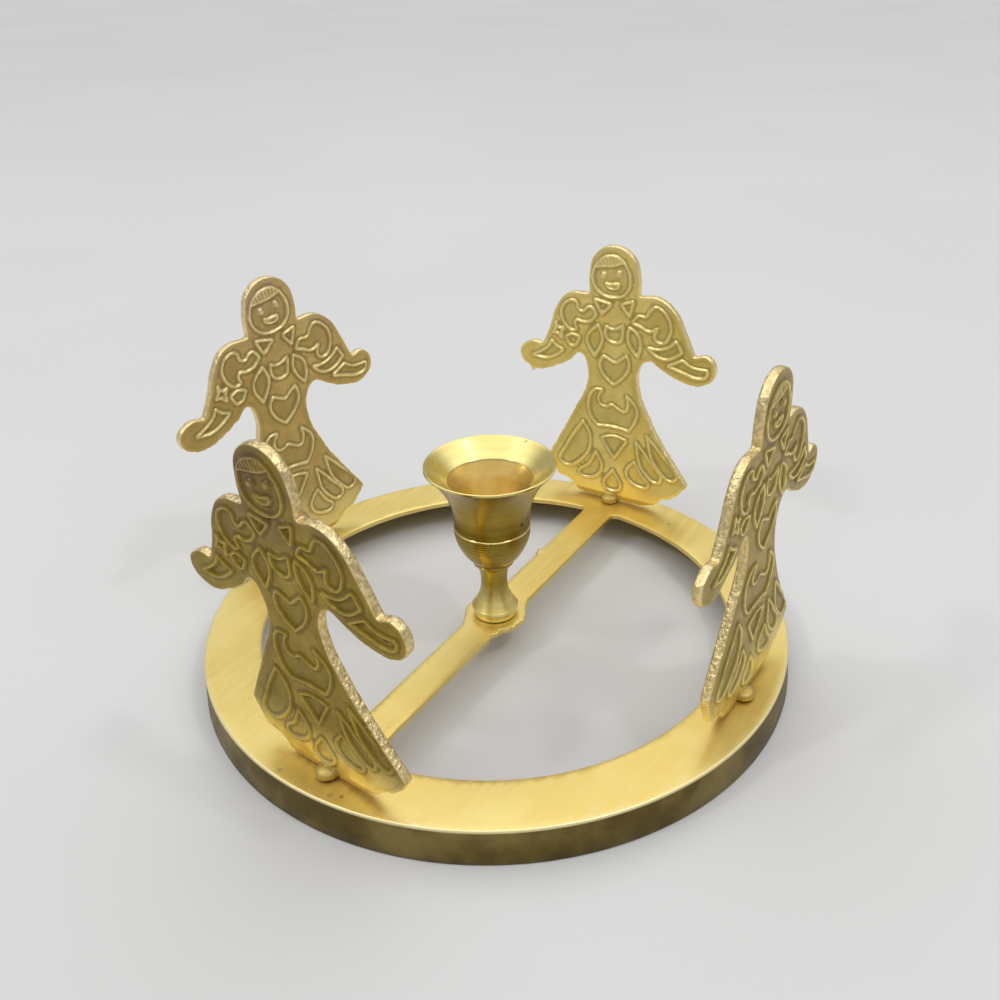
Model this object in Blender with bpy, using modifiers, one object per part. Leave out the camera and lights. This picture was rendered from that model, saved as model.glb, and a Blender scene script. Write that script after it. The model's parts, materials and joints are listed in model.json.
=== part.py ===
"""Brass candle ring: a cast ring with a cross bar, a turned candle cup and four flat cast angels.

Metres, +Z up. The origin is on the table, under the middle of the ring. The cross bar runs
along Y, so one angel stands at the front (-Y), one at the back (+Y), and one at each side.
Each angel stands on a round foot boss and turns on the screw that holds it from below.
"""
import math

import bmesh
import bpy
from mathutils import Matrix

MM = 0.001
WELD_DISTANCE = 0.005 * MM

# Ring: a flat top plate with an outer skirt that stands on the table, open underneath.
RING_OUTER_R = 95.0 * MM
RING_WIDTH = 18.6 * MM
RING_INNER_R = RING_OUTER_R - RING_WIDTH
RING_HEIGHT = 11.5 * MM
RING_DRAFT = 0.9 * MM
RING_EDGE_ROUND = 1.0 * MM
PLATE_THICK = 1.8 * MM
SKIRT_THICK = 2.6 * MM
SKIRT_FILLET = 1.4 * MM
RING_STEPS = 72
RING_EDGE_STEPS = 3
SKIRT_FILLET_STEPS = 2

# Cross bar: one casting with the ring, level with its top, widening to a round pad.
BAR_WIDTH = 11.4 * MM
BAR_THICK = 2.2 * MM
BAR_OVERLAP = 2.0 * MM
BAR_FILLET = 2.0 * MM
FILLET_KNEE_RATIO = 0.3
FILLET_END_RATIO = 0.1
PAD_R = 10.2 * MM
PAD_BLEND = 2.5 * MM
PAD_STEPS = 4

# Screws, all put in from below.
SEAT_GAP = 0.3 * MM
THREAD_GAP = 0.4 * MM
ANGEL_SCREW_R = 1.25 * MM
ANGEL_SCREW_GRIP = 2.2 * MM
CUP_SCREW_R = 2.5 * MM
CUP_SCREW_GRIP = 7.0 * MM
HOLE_END_ROOM = 0.8 * MM
HEAD_R_RATIO = 1.9
HEAD_HEIGHT_RATIO = 1.1
HEAD_RIM_RATIO = 0.3
TIP_BEVEL_RATIO = 0.3
SLOT_WIDTH_RATIO = 0.3
SLOT_DEPTH_RATIO = 0.45
SCREW_STEPS = 16
HEAD_STEPS = 2

# Candle cup, turned in one piece. Heights are above its base.
CUP_RIM_R = 20.5 * MM
CUP_HEIGHT = 55.0 * MM
CUP_LIP = 0.7 * MM
BORE_MOUTH_R = 13.3 * MM
BORE_MOUTH_Z = 49.7 * MM
BORE_FLOOR_R = 11.0 * MM
BORE_FLOOR_Z = 31.0 * MM
BORE_POWER = 2.5
BOWL_WALL = 1.1 * MM
FLARE_RISE = 19.3 * MM
FLARE_POWER = 2.3
GROOVE_Z = 33.9 * MM
GROOVE_DEPTH = 0.35 * MM
GROOVE_WIDTH = 0.8 * MM
BOWL_BOTTOM_Z = 20.6 * MM
BOWL_BOTTOM_R = 6.5 * MM
BOWL_POWER = 2.2
NECK_RING_HEIGHT = 0.9 * MM
NECK_RING_PROUD = 0.15 * MM
NECK_TOP_R = 5.9 * MM
NECK_R = 4.3 * MM
NECK_Z = 12.4 * MM
CONE_R = 7.6 * MM
CONE_Z = 3.3 * MM
CONE_LIP = 1.0 * MM
CUP_BASE_R = 6.9 * MM
CUP_BASE_GROOVE_R = 6.2 * MM
CUP_BASE_HEIGHT = 1.7 * MM
NECK_POWER = 2.8
CONE_POWER = 2.1
CUP_STEPS = 36
BORE_STEPS = 4
FLARE_STEPS = 6
BOWL_STEPS = 5
NECK_STEPS = 3
CONE_STEPS = 4

# Angels: four equal castings, decorated on one face. Heights are above the ring's top.
ANGEL_HEIGHT = 101.2 * MM
ANGEL_THICK = 3.0 * MM
ANGEL_EDGE_ROUND = 0.45 * MM
ANGEL_INSET = 9.8 * MM
ANGEL_CIRCLE_R = RING_OUTER_R - ANGEL_INSET
BOSS_R = 3.5 * MM
BOSS_HEIGHT = 1.9 * MM
BOSS_DOME = 2.3 * MM
BOSS_DOME_STEPS = 3
BOSS_BEFORE_PLATE = 1.35 * MM
BOSS_LEFT_OF_MIDDLE = 1.4 * MM
LINE_RISE = 0.5 * MM
LINE_HALF_WIDTH = 0.85 * MM
EYE_R = 1.0 * MM
EYE_RISE = 0.6 * MM
EYE_STEPS = 8
OUTLINE_RESOLUTION = 2
LINE_RESOLUTION = 2
SHORT_LINE_RESOLUTION = 1
SHORT_LINE_POINTS = 5

# Each angel's place on the ring and the way that its decorated face looks, in degrees about
# +Z from +X. Then how far it leans towards that side, and how far it tips to the left.
# In the photograph all four decorated faces look towards the camera, and none stands quite square.
ANGEL_ANGLES = {
    "front": (-90.0, -96.5, 3.5, 1.5),
    "right": (0.0, -2.9, 0.0, -1.1),
    "back": (90.0, 269.7, 1.5, 0.5),
    "left": (180.0, 346.2, 0.1, -0.3),
}

# Angel outline, in millimetres seen from the decorated face: x to the right of the middle,
# z up from the ring's top. A True point is a corner, and the others are rounded through.
HEAD = [
    (-9.9, 83.2, True),
    (-9.9, 90.5, False),
    (-7.4, 97.9, False),
    (-0.4, 101.2, False),
    (6.9, 97.9, False),
    (9.4, 90.5, False),
    (9.3, 84.4, True),
]
RIGHT_ARM = [
    (16.6, 84.9, False),
    (22.6, 81.0, False),
    (26.4, 74.4, False),
    (30.5, 65.4, True),
    (35.4, 66.5, False),
    (38.7, 61.0, False),
    (34.6, 55.7, False),
    (26.6, 55.5, False),
    (18.6, 58.7, False),
    (13.6, 61.2, False),
]
RIGHT_SIDE = [
    (10.0, 57.6, False),
    (9.3, 50.4, False),
    (14.2, 37.2, False),
    (29.8, 13.6, True),
]
HEM = [
    (20.4, 5.6, True),
    (14.6, 1.8, False),
    (-1.5, 1.0, False),
    (-12.5, 1.2, False),
    (-18.2, 4.4, True),
    (-24.4, 6.0, True),
]
LEFT_SIDE = [
    (-28.0, 15.4, True),
    (-15.8, 38.4, False),
    (-11.4, 47.6, False),
    (-11.2, 55.4, False),
]
LEFT_ARM = [
    (-13.9, 60.0, False),
    (-17.8, 56.9, False),
    (-23.4, 53.4, False),
    (-34.6, 50.6, False),
    (-39.9, 56.2, False),
    (-35.4, 61.2, False),
    (-29.9, 60.9, True),
    (-26.6, 68.2, False),
    (-24.2, 75.4, False),
    (-18.8, 82.0, False),
]
ANGEL_OUTLINE = HEAD + RIGHT_ARM + RIGHT_SIDE + HEM + LEFT_SIDE + LEFT_ARM

# Raised lines on the decorated face, in the outline's coordinates. The face is two dots and a
# smile under a fringe. The rest is leaves, curls and a heart, with a row of petals at the hem.
FACE = [
    (-7.7, 93.4, True),
    (-8.0, 87.8, False),
    (-4.4, 83.6, False),
    (1.8, 83.2, False),
    (6.2, 87.4, False),
    (6.2, 92.4, False),
    (4.0, 95.9, True),
    (-2.0, 94.3, False),
]
EYES = [(-4.0, 90.6), (1.9, 91.7)]
SMILE = [(-3.8, 88.1, True), (2.8, 88.3, True), (1.2, 86.2, False), (-2.2, 86.0, False)]
COLLAR_LEFT = [(-7.9, 80.9, True), (-0.9, 80.5, True), (-4.9, 76.2, True)]
COLLAR_RIGHT = [(2.6, 80.4, True), (7.9, 82.2, True), (5.8, 76.6, True)]
LEAF_LEFT = [(-6.3, 72.4, True), (-4.5, 66.4, False), (-7.8, 59.6, True), (-10.6, 66.6, False)]
LEAF_RIGHT = [(6.0, 73.2, True), (10.6, 68.2, False), (9.4, 62.0, True), (5.4, 67.8, False)]
SHIELD = [
    (-3.4, 72.3, True),
    (0.2, 70.9, False),
    (3.7, 73.4, True),
    (3.0, 67.2, False),
    (-2.6, 66.9, False),
]
HEART = [
    (0.4, 58.4, True),
    (-4.3, 60.9, True),
    (-5.6, 56.2, False),
    (-0.2, 49.6, True),
    (6.0, 56.8, False),
    (5.2, 62.3, True),
]
CRESCENT = [
    (-4.2, 47.1, True),
    (-9.4, 45.4, False),
    (-10.2, 38.2, False),
    (-6.7, 32.0, True),
    (-0.2, 32.8, False),
    (6.3, 31.8, True),
    (9.4, 39.0, False),
    (5.2, 46.5, True),
    (4.6, 39.6, False),
    (-0.6, 41.8, True),
    (-5.4, 40.2, False),
]
SLEEVE_LEFT = [
    (-14.4, 79.4, True),
    (-19.4, 78.8, False),
    (-20.8, 73.0, False),
    (-15.2, 68.6, True),
    (-15.4, 72.2, True),
    (-10.0, 72.6, False),
    (-7.2, 76.8, True),
    (-10.2, 78.8, True),
    (-12.6, 76.2, False),
]
SLEEVE_RIGHT = [
    (7.4, 74.6, True),
    (9.6, 77.7, False),
    (12.8, 77.8, True),
    (14.8, 81.6, False),
    (20.2, 79.8, False),
    (21.8, 73.4, False),
    (16.6, 69.2, False),
    (16.6, 74.0, True),
    (13.0, 72.8, False),
]
FOREARM_LEFT = [(-25.6, 63.2, True), (-28.8, 58.6, False), (-34.2, 55.7, True), (-20.7, 60.3, True)]
CUFF_LEFT = [(-20.2, 65.0, True), (-17.2, 62.2, False), (-13.6, 66.2, True), (-17.2, 67.0, False)]
CUFF_RIGHT = [
    (13.2, 66.7, True),
    (18.6, 63.0, False),
    (26.2, 66.8, True),
    (24.2, 70.4, True),
    (19.2, 66.6, False),
]
HAND_RIGHT = [(21.0, 60.9, True), (26.8, 63.8, True), (35.9, 61.8, True), (33.4, 58.2, True)]
PETALS = [
    [(-12.6, 32.6, True), (-11.6, 20.6, False), (-21.8, 12.8, False), (-18.8, 23.0, False)],
    [(-7.2, 20.8, True), (-5.6, 12.2, False), (-14.0, 8.8, False), (-10.8, 15.4, False)],
    [(-5.0, 27.2, True), (0.2, 28.8, False), (5.6, 27.8, True), (0.2, 19.2, True)],
    [(-0.4, 14.6, True), (2.8, 7.2, False), (-0.5, 5.2, False), (-3.8, 6.8, False)],
    [(8.2, 19.6, True), (11.4, 14.4, False), (13.8, 9.8, False), (6.0, 12.0, False)],
    [(9.2, 28.4, True), (14.6, 22.0, False), (19.0, 13.4, False), (12.6, 16.6, False)],
    [(13.4, 32.0, True), (19.0, 26.0, False), (25.0, 15.6, False), (17.6, 20.0, False)],
]
RAISED_LINES = [FACE, SMILE, COLLAR_LEFT, COLLAR_RIGHT, LEAF_LEFT, LEAF_RIGHT, SHIELD, HEART,
                CRESCENT, SLEEVE_LEFT, SLEEVE_RIGHT, FOREARM_LEFT, CUFF_LEFT, CUFF_RIGHT,
                HAND_RIGHT] + PETALS

# Colour, roughness and metallic value of each finish.
FINISHES = {
    "ring_brass": ((0.62, 0.47, 0.20), 0.34, 1.0),
    "cup_brass": ((0.68, 0.50, 0.18), 0.26, 1.0),
    "angel_brass": ((0.42, 0.31, 0.13), 0.42, 1.0),
    "screw_brass": ((0.48, 0.36, 0.16), 0.40, 1.0),
}


def clear_scene():
    for old in list(bpy.data.objects):
        bpy.data.objects.remove(old, do_unlink=True)


def new_collection(name):
    made = bpy.data.collections.new(name)
    bpy.context.scene.collection.children.link(made)
    return made


def brass(name):
    colour, roughness, metallic = FINISHES[name]
    material = bpy.data.materials.new(name)
    material.use_nodes = True
    shader = material.node_tree.nodes["Principled BSDF"]
    shader.inputs["Base Color"].default_value = (*colour, 1.0)
    shader.inputs["Roughness"].default_value = roughness
    shader.inputs["Metallic"].default_value = metallic
    return material


def arc(centre_r, centre_z, radius, start, end, steps):
    """Points on an arc in the profile plane, from one angle to another in degrees."""
    points = []
    for step in range(steps + 1):
        angle = math.radians(start + (end - start) * step / steps)
        points.append((centre_r + radius * math.cos(angle), centre_z + radius * math.sin(angle)))
    return points


def turned(name, profile, steps, closed=False):
    """A profile of (radius, height) points turned about Z with a Screw modifier."""
    mesh = bpy.data.meshes.new(name)
    edges = [(i, i + 1) for i in range(len(profile) - 1)]
    if closed:
        edges.append((len(profile) - 1, 0))
    mesh.from_pydata([(r, 0.0, z) for r, z in profile], edges, [])
    made = bpy.data.objects.new(name, mesh)
    screw = made.modifiers.new("turn", "SCREW")
    screw.axis = "Z"
    screw.angle = math.tau
    screw.steps = steps
    screw.render_steps = steps
    screw.use_merge_vertices = True
    screw.merge_threshold = WELD_DISTANCE
    screw.use_normal_calculate = False
    screw.use_smooth_shade = True
    return made


def add_loop(curve, points, resolution):
    """A closed Bezier spline through (x, y, corner) points."""
    spline = curve.splines.new("BEZIER")
    spline.resolution_u = resolution
    spline.bezier_points.add(len(points) - 1)
    spline.use_cyclic_u = True
    for knot, (x, y, corner) in zip(spline.bezier_points, points):
        knot.co = (x, y, 0.0)
        knot.handle_left_type = "VECTOR" if corner else "AUTO"
        knot.handle_right_type = "VECTOR" if corner else "AUTO"


def flat_outline(name, points, thickness, edge_round=0.0):
    """A flat 2D curve filled on both sides, as thick as asked over its rounded edges."""
    curve = bpy.data.curves.new(name, "CURVE")
    curve.dimensions = "2D"
    curve.fill_mode = "BOTH"
    curve.extrude = thickness / 2 - edge_round
    curve.bevel_depth = edge_round
    curve.bevel_resolution = 0
    curve.offset = -edge_round
    add_loop(curve, points, OUTLINE_RESOLUTION)
    return bpy.data.objects.new(name, curve)


def ridges(name, loops):
    """Closed lines with a square section that stands on one edge, so its top is a ridge."""
    curve = bpy.data.curves.new(name, "CURVE")
    curve.dimensions = "3D"
    curve.twist_mode = "Z_UP"
    curve.bevel_depth = LINE_HALF_WIDTH
    curve.bevel_resolution = 0
    for points in loops:
        short = len(points) <= SHORT_LINE_POINTS
        add_loop(curve, points, SHORT_LINE_RESOLUTION if short else LINE_RESOLUTION)
    return bpy.data.objects.new(name, curve)


def as_mesh(source, collection):
    """The object's evaluated shape as one welded mesh object, in place of the source."""
    if not source.users_collection:
        collection.objects.link(source)
    bpy.context.view_layer.update()
    evaluated = source.evaluated_get(bpy.context.evaluated_depsgraph_get())
    mesh = bpy.data.meshes.new_from_object(evaluated)
    name = source.name
    place = source.matrix_world.copy()
    bpy.data.objects.remove(source, do_unlink=True)
    work = bmesh.new()
    work.from_mesh(mesh)
    bmesh.ops.remove_doubles(work, verts=work.verts, dist=WELD_DISTANCE)
    bmesh.ops.recalc_face_normals(work, faces=work.faces)
    work.to_mesh(mesh)
    work.free()
    made = bpy.data.objects.new(name, mesh)
    made.matrix_world = place
    collection.objects.link(made)
    return made


def combine(target, other, operation, cutters):
    """A Boolean with a helper object, which stays hidden among the cutters."""
    if not other.users_collection:
        cutters.objects.link(other)
    other.hide_render = True
    other.display_type = "WIRE"
    boolean = target.modifiers.new(other.name, "BOOLEAN")
    boolean.operation = operation
    boolean.solver = "EXACT"
    boolean.object = other


def cylinder(name, radius, bottom, top, steps, place=(0.0, 0.0)):
    mesh = bpy.data.meshes.new(name)
    work = bmesh.new()
    bmesh.ops.create_cone(work, cap_ends=True, segments=steps, radius1=radius, radius2=radius,
                          depth=top - bottom)
    bmesh.ops.translate(work, verts=work.verts, vec=(0.0, 0.0, (top + bottom) / 2))
    work.to_mesh(mesh)
    work.free()
    made = bpy.data.objects.new(name, mesh)
    made.location = (place[0], place[1], 0.0)
    return made


def on_circle(radius, degrees):
    angle = math.radians(degrees)
    return radius * math.cos(angle), radius * math.sin(angle)


def finish(piece, collection, material):
    """Puts the piece into its collection and gives it its material."""
    if not piece.users_collection:
        collection.objects.link(piece)
    piece.data.materials.clear()
    piece.data.materials.append(material)
    return piece


def ring_section():
    """The ring's L-shaped section, from the inner edge over the top and down the outside."""
    top_r = RING_OUTER_R - RING_DRAFT
    skirt_in = RING_OUTER_R - SKIRT_THICK
    under = RING_HEIGHT - PLATE_THICK
    corner_r = top_r - RING_EDGE_ROUND
    corner_z = RING_HEIGHT - RING_EDGE_ROUND
    section = [(RING_INNER_R, RING_HEIGHT)]
    section += arc(corner_r, corner_z, RING_EDGE_ROUND, 90.0, 0.0, RING_EDGE_STEPS)
    section += [(RING_OUTER_R, 0.0), (skirt_in, 0.0)]
    inner_r = skirt_in - RING_DRAFT - SKIRT_FILLET
    section += arc(inner_r, under - SKIRT_FILLET, SKIRT_FILLET, 0.0, 90.0, SKIRT_FILLET_STEPS)
    section.append((RING_INNER_R, under))
    return section


def bar_outline():
    """The cross bar seen from above: straight sides, a round pad, and flared ends."""
    half = BAR_WIDTH / 2
    end_y = RING_INNER_R + BAR_OVERLAP
    flare_y = math.sqrt(RING_INNER_R ** 2 - half ** 2)
    pad_start = math.asin(half / PAD_R)
    knee = FILLET_KNEE_RATIO * BAR_FILLET
    right = [
        (half + BAR_FILLET, end_y, True),
        (half + BAR_FILLET, flare_y + FILLET_END_RATIO * BAR_FILLET, True),
        (half + knee, flare_y - knee, False),
        (half, flare_y - BAR_FILLET, True),
        (half, PAD_R * math.cos(pad_start) + PAD_BLEND, True),
    ]
    pad_start += PAD_BLEND / PAD_R
    for step in range(PAD_STEPS + 1):
        angle = pad_start + (math.pi / 2 - pad_start) * step / PAD_STEPS
        right.append((PAD_R * math.sin(angle), PAD_R * math.cos(angle), False))
    right += [(x, -y, corner) for x, y, corner in reversed(right[:-1])]
    left = [(-x, y, corner) for x, y, corner in reversed(right)]
    return right + left


def make_ring(collection, cutters):
    ring = turned("ring_base", ring_section(), RING_STEPS, closed=True)
    bar = as_mesh(flat_outline("cross_bar", bar_outline(), BAR_THICK), cutters)
    bar.location.z = RING_HEIGHT - BAR_THICK / 2
    combine(ring, bar, "UNION", cutters)
    for name, (place, _, _, _) in ANGEL_ANGLES.items():
        hole = cylinder("hole_" + name, ANGEL_SCREW_R + THREAD_GAP, 0.0, 2 * RING_HEIGHT,
                        SCREW_STEPS, on_circle(ANGEL_CIRCLE_R, place))
        combine(ring, hole, "DIFFERENCE", cutters)
    hole = cylinder("hole_cup", CUP_SCREW_R + THREAD_GAP, 0.0, 2 * RING_HEIGHT, SCREW_STEPS)
    combine(ring, hole, "DIFFERENCE", cutters)
    finish(ring, collection, brass("ring_brass"))


def swept(low, high, power, steps):
    """Points from one (radius, height) to another; the radius changes by a power of the rise."""
    points = []
    for step in range(steps + 1):
        share = step / steps
        reach = share ** power
        points.append((low[0] + (high[0] - low[0]) * reach, low[1] + (high[1] - low[1]) * share))
    return points


def cup_profile():
    """Half of the cup's section: out over the bore's floor, up, over the rim and down."""
    bowl_r = BORE_FLOOR_R + BOWL_WALL
    ring_r = BOWL_BOTTOM_R + NECK_RING_PROUD
    ring_z = BOWL_BOTTOM_Z - NECK_RING_HEIGHT
    groove_top = GROOVE_Z + GROOVE_WIDTH / 2
    groove_bottom = GROOVE_Z - GROOVE_WIDTH / 2
    bore = [(0.0, BORE_FLOOR_Z)]
    bore += swept((BORE_FLOOR_R, BORE_FLOOR_Z), (BORE_MOUTH_R, BORE_MOUTH_Z), BORE_POWER, BORE_STEPS)
    bore.append((CUP_RIM_R - CUP_LIP, CUP_HEIGHT))
    rim_z = CUP_HEIGHT - CUP_LIP
    flare = swept((bowl_r, rim_z - FLARE_RISE), (CUP_RIM_R, rim_z), FLARE_POWER, FLARE_STEPS)
    groove = [(bowl_r, groove_top), (bowl_r - GROOVE_DEPTH, GROOVE_Z)]
    bowl = swept((bowl_r, groove_bottom), (BOWL_BOTTOM_R, BOWL_BOTTOM_Z), BOWL_POWER,
                 BOWL_STEPS)
    neck_ring = [(ring_r, BOWL_BOTTOM_Z), (ring_r, ring_z)]
    neck = swept((NECK_R, NECK_Z), (NECK_TOP_R, ring_z), NECK_POWER, NECK_STEPS)
    cone = swept((NECK_R, NECK_Z), (CONE_R, CONE_Z), CONE_POWER, CONE_STEPS)
    foot = [(CONE_R, CONE_Z - CONE_LIP), (CUP_BASE_GROOVE_R, CUP_BASE_HEIGHT + NECK_RING_PROUD)]
    foot += [(CUP_BASE_R, CUP_BASE_HEIGHT), (CUP_BASE_R, 0.0), (0.0, 0.0)]
    return bore + flare[::-1] + groove + bowl + neck_ring + neck[::-1] + cone[1:] + foot


def make_cup(collection, cutters):
    cup = turned("candle_cup", cup_profile(), CUP_STEPS)
    cup.location.z = RING_HEIGHT + SEAT_GAP
    depth = CUP_SCREW_GRIP + HOLE_END_ROOM
    hole = cylinder("hole_cup_base", CUP_SCREW_R + THREAD_GAP, RING_HEIGHT / 2,
                    RING_HEIGHT + SEAT_GAP + depth, SCREW_STEPS)
    combine(cup, hole, "DIFFERENCE", cutters)
    finish(cup, collection, brass("cup_brass"))


def make_screw(name, shank_r, seat_z, tip_z, place, material, collection, cutters):
    """A slotted round-head screw, head down, from its seat under the casting up to its tip."""
    head_r = shank_r * HEAD_R_RATIO
    head_height = shank_r * HEAD_HEIGHT_RATIO
    head_rim = head_height * HEAD_RIM_RATIO
    bevel = shank_r * TIP_BEVEL_RATIO
    dome = head_height - head_rim
    profile = [(0.0, tip_z), (shank_r - bevel, tip_z), (shank_r, tip_z - bevel), (shank_r, seat_z)]
    profile.append((head_r, seat_z))
    profile += arc(head_r - dome, seat_z - head_rim, dome, 0.0, -90.0, HEAD_STEPS)
    profile.append((0.0, seat_z - head_height))
    screw = turned(name, profile, SCREW_STEPS)
    screw.location = (place[0], place[1], 0.0)
    slot_depth = head_height * SLOT_DEPTH_RATIO
    mesh = bpy.data.meshes.new(name + "_slot")
    work = bmesh.new()
    bmesh.ops.create_cube(work, size=1.0)
    bmesh.ops.scale(work, verts=work.verts,
                    vec=(4 * head_r, head_r * SLOT_WIDTH_RATIO, 2 * slot_depth))
    work.to_mesh(mesh)
    work.free()
    slot = bpy.data.objects.new(name + "_slot", mesh)
    slot.location = (place[0], place[1], seat_z - head_height)
    combine(screw, slot, "DIFFERENCE", cutters)
    finish(screw, collection, material)


def scaled(points):
    """Points of the angel's drawing, in metres at the angel's height."""
    share = ANGEL_HEIGHT / max(z for _, z, _ in ANGEL_OUTLINE)
    return [(x * share, z * share, corner) for x, z, corner in points]


def stand_up(drawing, collection, front_y):
    """Turns a drawing in the XY plane upright, its top side towards -Y, at its place."""
    place = Matrix.Translation((BOSS_LEFT_OF_MIDDLE, front_y, 0.0))
    drawing.matrix_world = place @ Matrix.Rotation(math.radians(90.0), 4, "X")
    made = as_mesh(drawing, collection)
    made.data.transform(made.matrix_world)
    made.matrix_world = Matrix.Identity(4)
    return made


def eye_dot(x, y, z):
    """A low round dot, half sunk into the face."""
    mesh = bpy.data.meshes.new("eye")
    work = bmesh.new()
    bmesh.ops.create_cone(work, cap_ends=True, segments=EYE_STEPS, radius1=EYE_R,
                          radius2=EYE_R / 2, depth=2 * EYE_RISE)
    work.to_mesh(mesh)
    work.free()
    made = bpy.data.objects.new("eye", mesh)
    made.location = (x, y, z)
    made.rotation_euler.x = math.radians(90.0)
    return made


def angel_mesh(collection, cutters):
    """One angel on its foot's axis at the origin, its decorated face towards -Y."""
    plate = stand_up(flat_outline("angel", scaled(ANGEL_OUTLINE), ANGEL_THICK, ANGEL_EDGE_ROUND),
                     collection, BOSS_BEFORE_PLATE)
    face_y = BOSS_BEFORE_PLATE - ANGEL_THICK / 2
    loops = [scaled(points) for points in RAISED_LINES]
    lines = stand_up(ridges("raised_lines", loops), cutters, face_y + LINE_HALF_WIDTH - LINE_RISE)
    combine(plate, lines, "UNION", cutters)
    for x, z, _ in scaled([(x, z, True) for x, z in EYES]):
        dot = eye_dot(BOSS_LEFT_OF_MIDDLE + x, face_y, z)
        combine(plate, dot, "UNION", cutters)
    profile = []
    for step in range(BOSS_DOME_STEPS + 1):
        angle = math.pi / 2 * step / BOSS_DOME_STEPS
        profile.append((BOSS_R * math.sin(angle), BOSS_HEIGHT + BOSS_DOME * math.cos(angle)))
    profile += [(BOSS_R, SEAT_GAP), (0.0, SEAT_GAP)]
    combine(plate, turned("foot_boss", profile, SCREW_STEPS), "UNION", cutters)
    hole = cylinder("hole_boss", ANGEL_SCREW_R + THREAD_GAP, -BOSS_R,
                    SEAT_GAP + ANGEL_SCREW_GRIP + HOLE_END_ROOM, SCREW_STEPS)
    combine(plate, hole, "DIFFERENCE", cutters)
    return finish(as_mesh(plate, collection), collection, brass("angel_brass"))


def make_angels(collection, cutters):
    pattern = angel_mesh(collection, cutters)
    screw_material = brass("screw_brass")
    seat = RING_HEIGHT - PLATE_THICK - SEAT_GAP
    tip = RING_HEIGHT + SEAT_GAP + ANGEL_SCREW_GRIP
    for name, (place, face, lean, tip_left) in ANGEL_ANGLES.items():
        x, y = on_circle(ANGEL_CIRCLE_R, place)
        angel = bpy.data.objects.new("angel_" + name, pattern.data)
        angel.location = (x, y, RING_HEIGHT)
        turn = [math.radians(angle) for angle in (lean, -tip_left, face + 90.0)]
        angel.rotation_euler = turn
        collection.objects.link(angel)
        make_screw("angel_screw_" + name, ANGEL_SCREW_R, seat, tip, (x, y), screw_material,
                   collection, cutters)
    bpy.data.objects.remove(pattern, do_unlink=True)
    make_screw("cup_screw", CUP_SCREW_R, RING_HEIGHT - BAR_THICK - SEAT_GAP,
               RING_HEIGHT + SEAT_GAP + CUP_SCREW_GRIP, (0.0, 0.0), screw_material,
               collection, cutters)


def build():
    clear_scene()
    collection = new_collection("candle_ring")
    cutters = new_collection("cutters")
    make_ring(collection, cutters)
    make_cup(collection, cutters)
    make_angels(collection, cutters)


build()
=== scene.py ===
"""Looks of the brass candle ring: fine castings, a turned cup, aged brass, floor, light and camera.

Drawings are in millimetres, as the outlines are; meshes and places are in metres.
"""
import json
import math

import bmesh
import bpy
import numpy as np
from mathutils import Matrix, Vector, geometry, kdtree, noise


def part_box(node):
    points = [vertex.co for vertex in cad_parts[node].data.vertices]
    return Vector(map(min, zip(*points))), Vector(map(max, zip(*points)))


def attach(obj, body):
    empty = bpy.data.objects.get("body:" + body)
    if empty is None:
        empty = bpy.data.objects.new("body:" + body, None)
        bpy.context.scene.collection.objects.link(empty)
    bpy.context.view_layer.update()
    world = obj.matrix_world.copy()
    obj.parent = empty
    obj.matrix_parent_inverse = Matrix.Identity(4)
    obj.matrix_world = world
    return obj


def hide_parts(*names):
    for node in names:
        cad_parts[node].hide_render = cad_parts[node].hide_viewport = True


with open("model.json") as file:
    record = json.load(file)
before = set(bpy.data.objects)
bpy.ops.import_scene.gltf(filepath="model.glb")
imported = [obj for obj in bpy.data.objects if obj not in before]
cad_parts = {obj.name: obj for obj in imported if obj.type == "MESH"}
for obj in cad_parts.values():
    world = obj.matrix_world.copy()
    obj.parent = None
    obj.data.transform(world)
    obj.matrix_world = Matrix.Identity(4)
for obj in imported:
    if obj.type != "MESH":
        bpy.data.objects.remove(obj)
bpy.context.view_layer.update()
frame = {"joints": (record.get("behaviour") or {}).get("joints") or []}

MM = 0.001

# Each angel: the heading of its decorated face, its lean back and its tip to the left, in degrees.
ANGELS = {
    "front": (-96.5, 3.5, 1.5),
    "right": (-2.9, 0.0, -1.1),
    "back": (269.7, 1.5, 0.5),
    "left": (346.2, 0.1, -0.3),
}
# Single spikes of flash on an angel's outline: place, height and reach.
SPIKES = {
    "back": [(-34.3, 50.6, 1.9, 1.5), (-12.0, 48.0, 0.5, 1.2), (-12.8, 44.4, 0.5, 1.2)],
    "front": [(-23.4, 53.4, 0.7, 1.6)],
    "left": [(-28.0, 53.0, 0.6, 1.4)],
}
PLATE_THICK = 3.0
PLATE_FRONT = -0.15
OUTLINE_SHIFT = 1.4
BOSS_R = 3.5
BOSS_BOTTOM = 0.3
BOSS_CHAMFER = 0.3
BOSS_HEIGHT = 1.6
BOSS_DOME = 1.6
BOSS_HOLE_R = 1.65
BOSS_HOLE_TOP = 2.75

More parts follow.
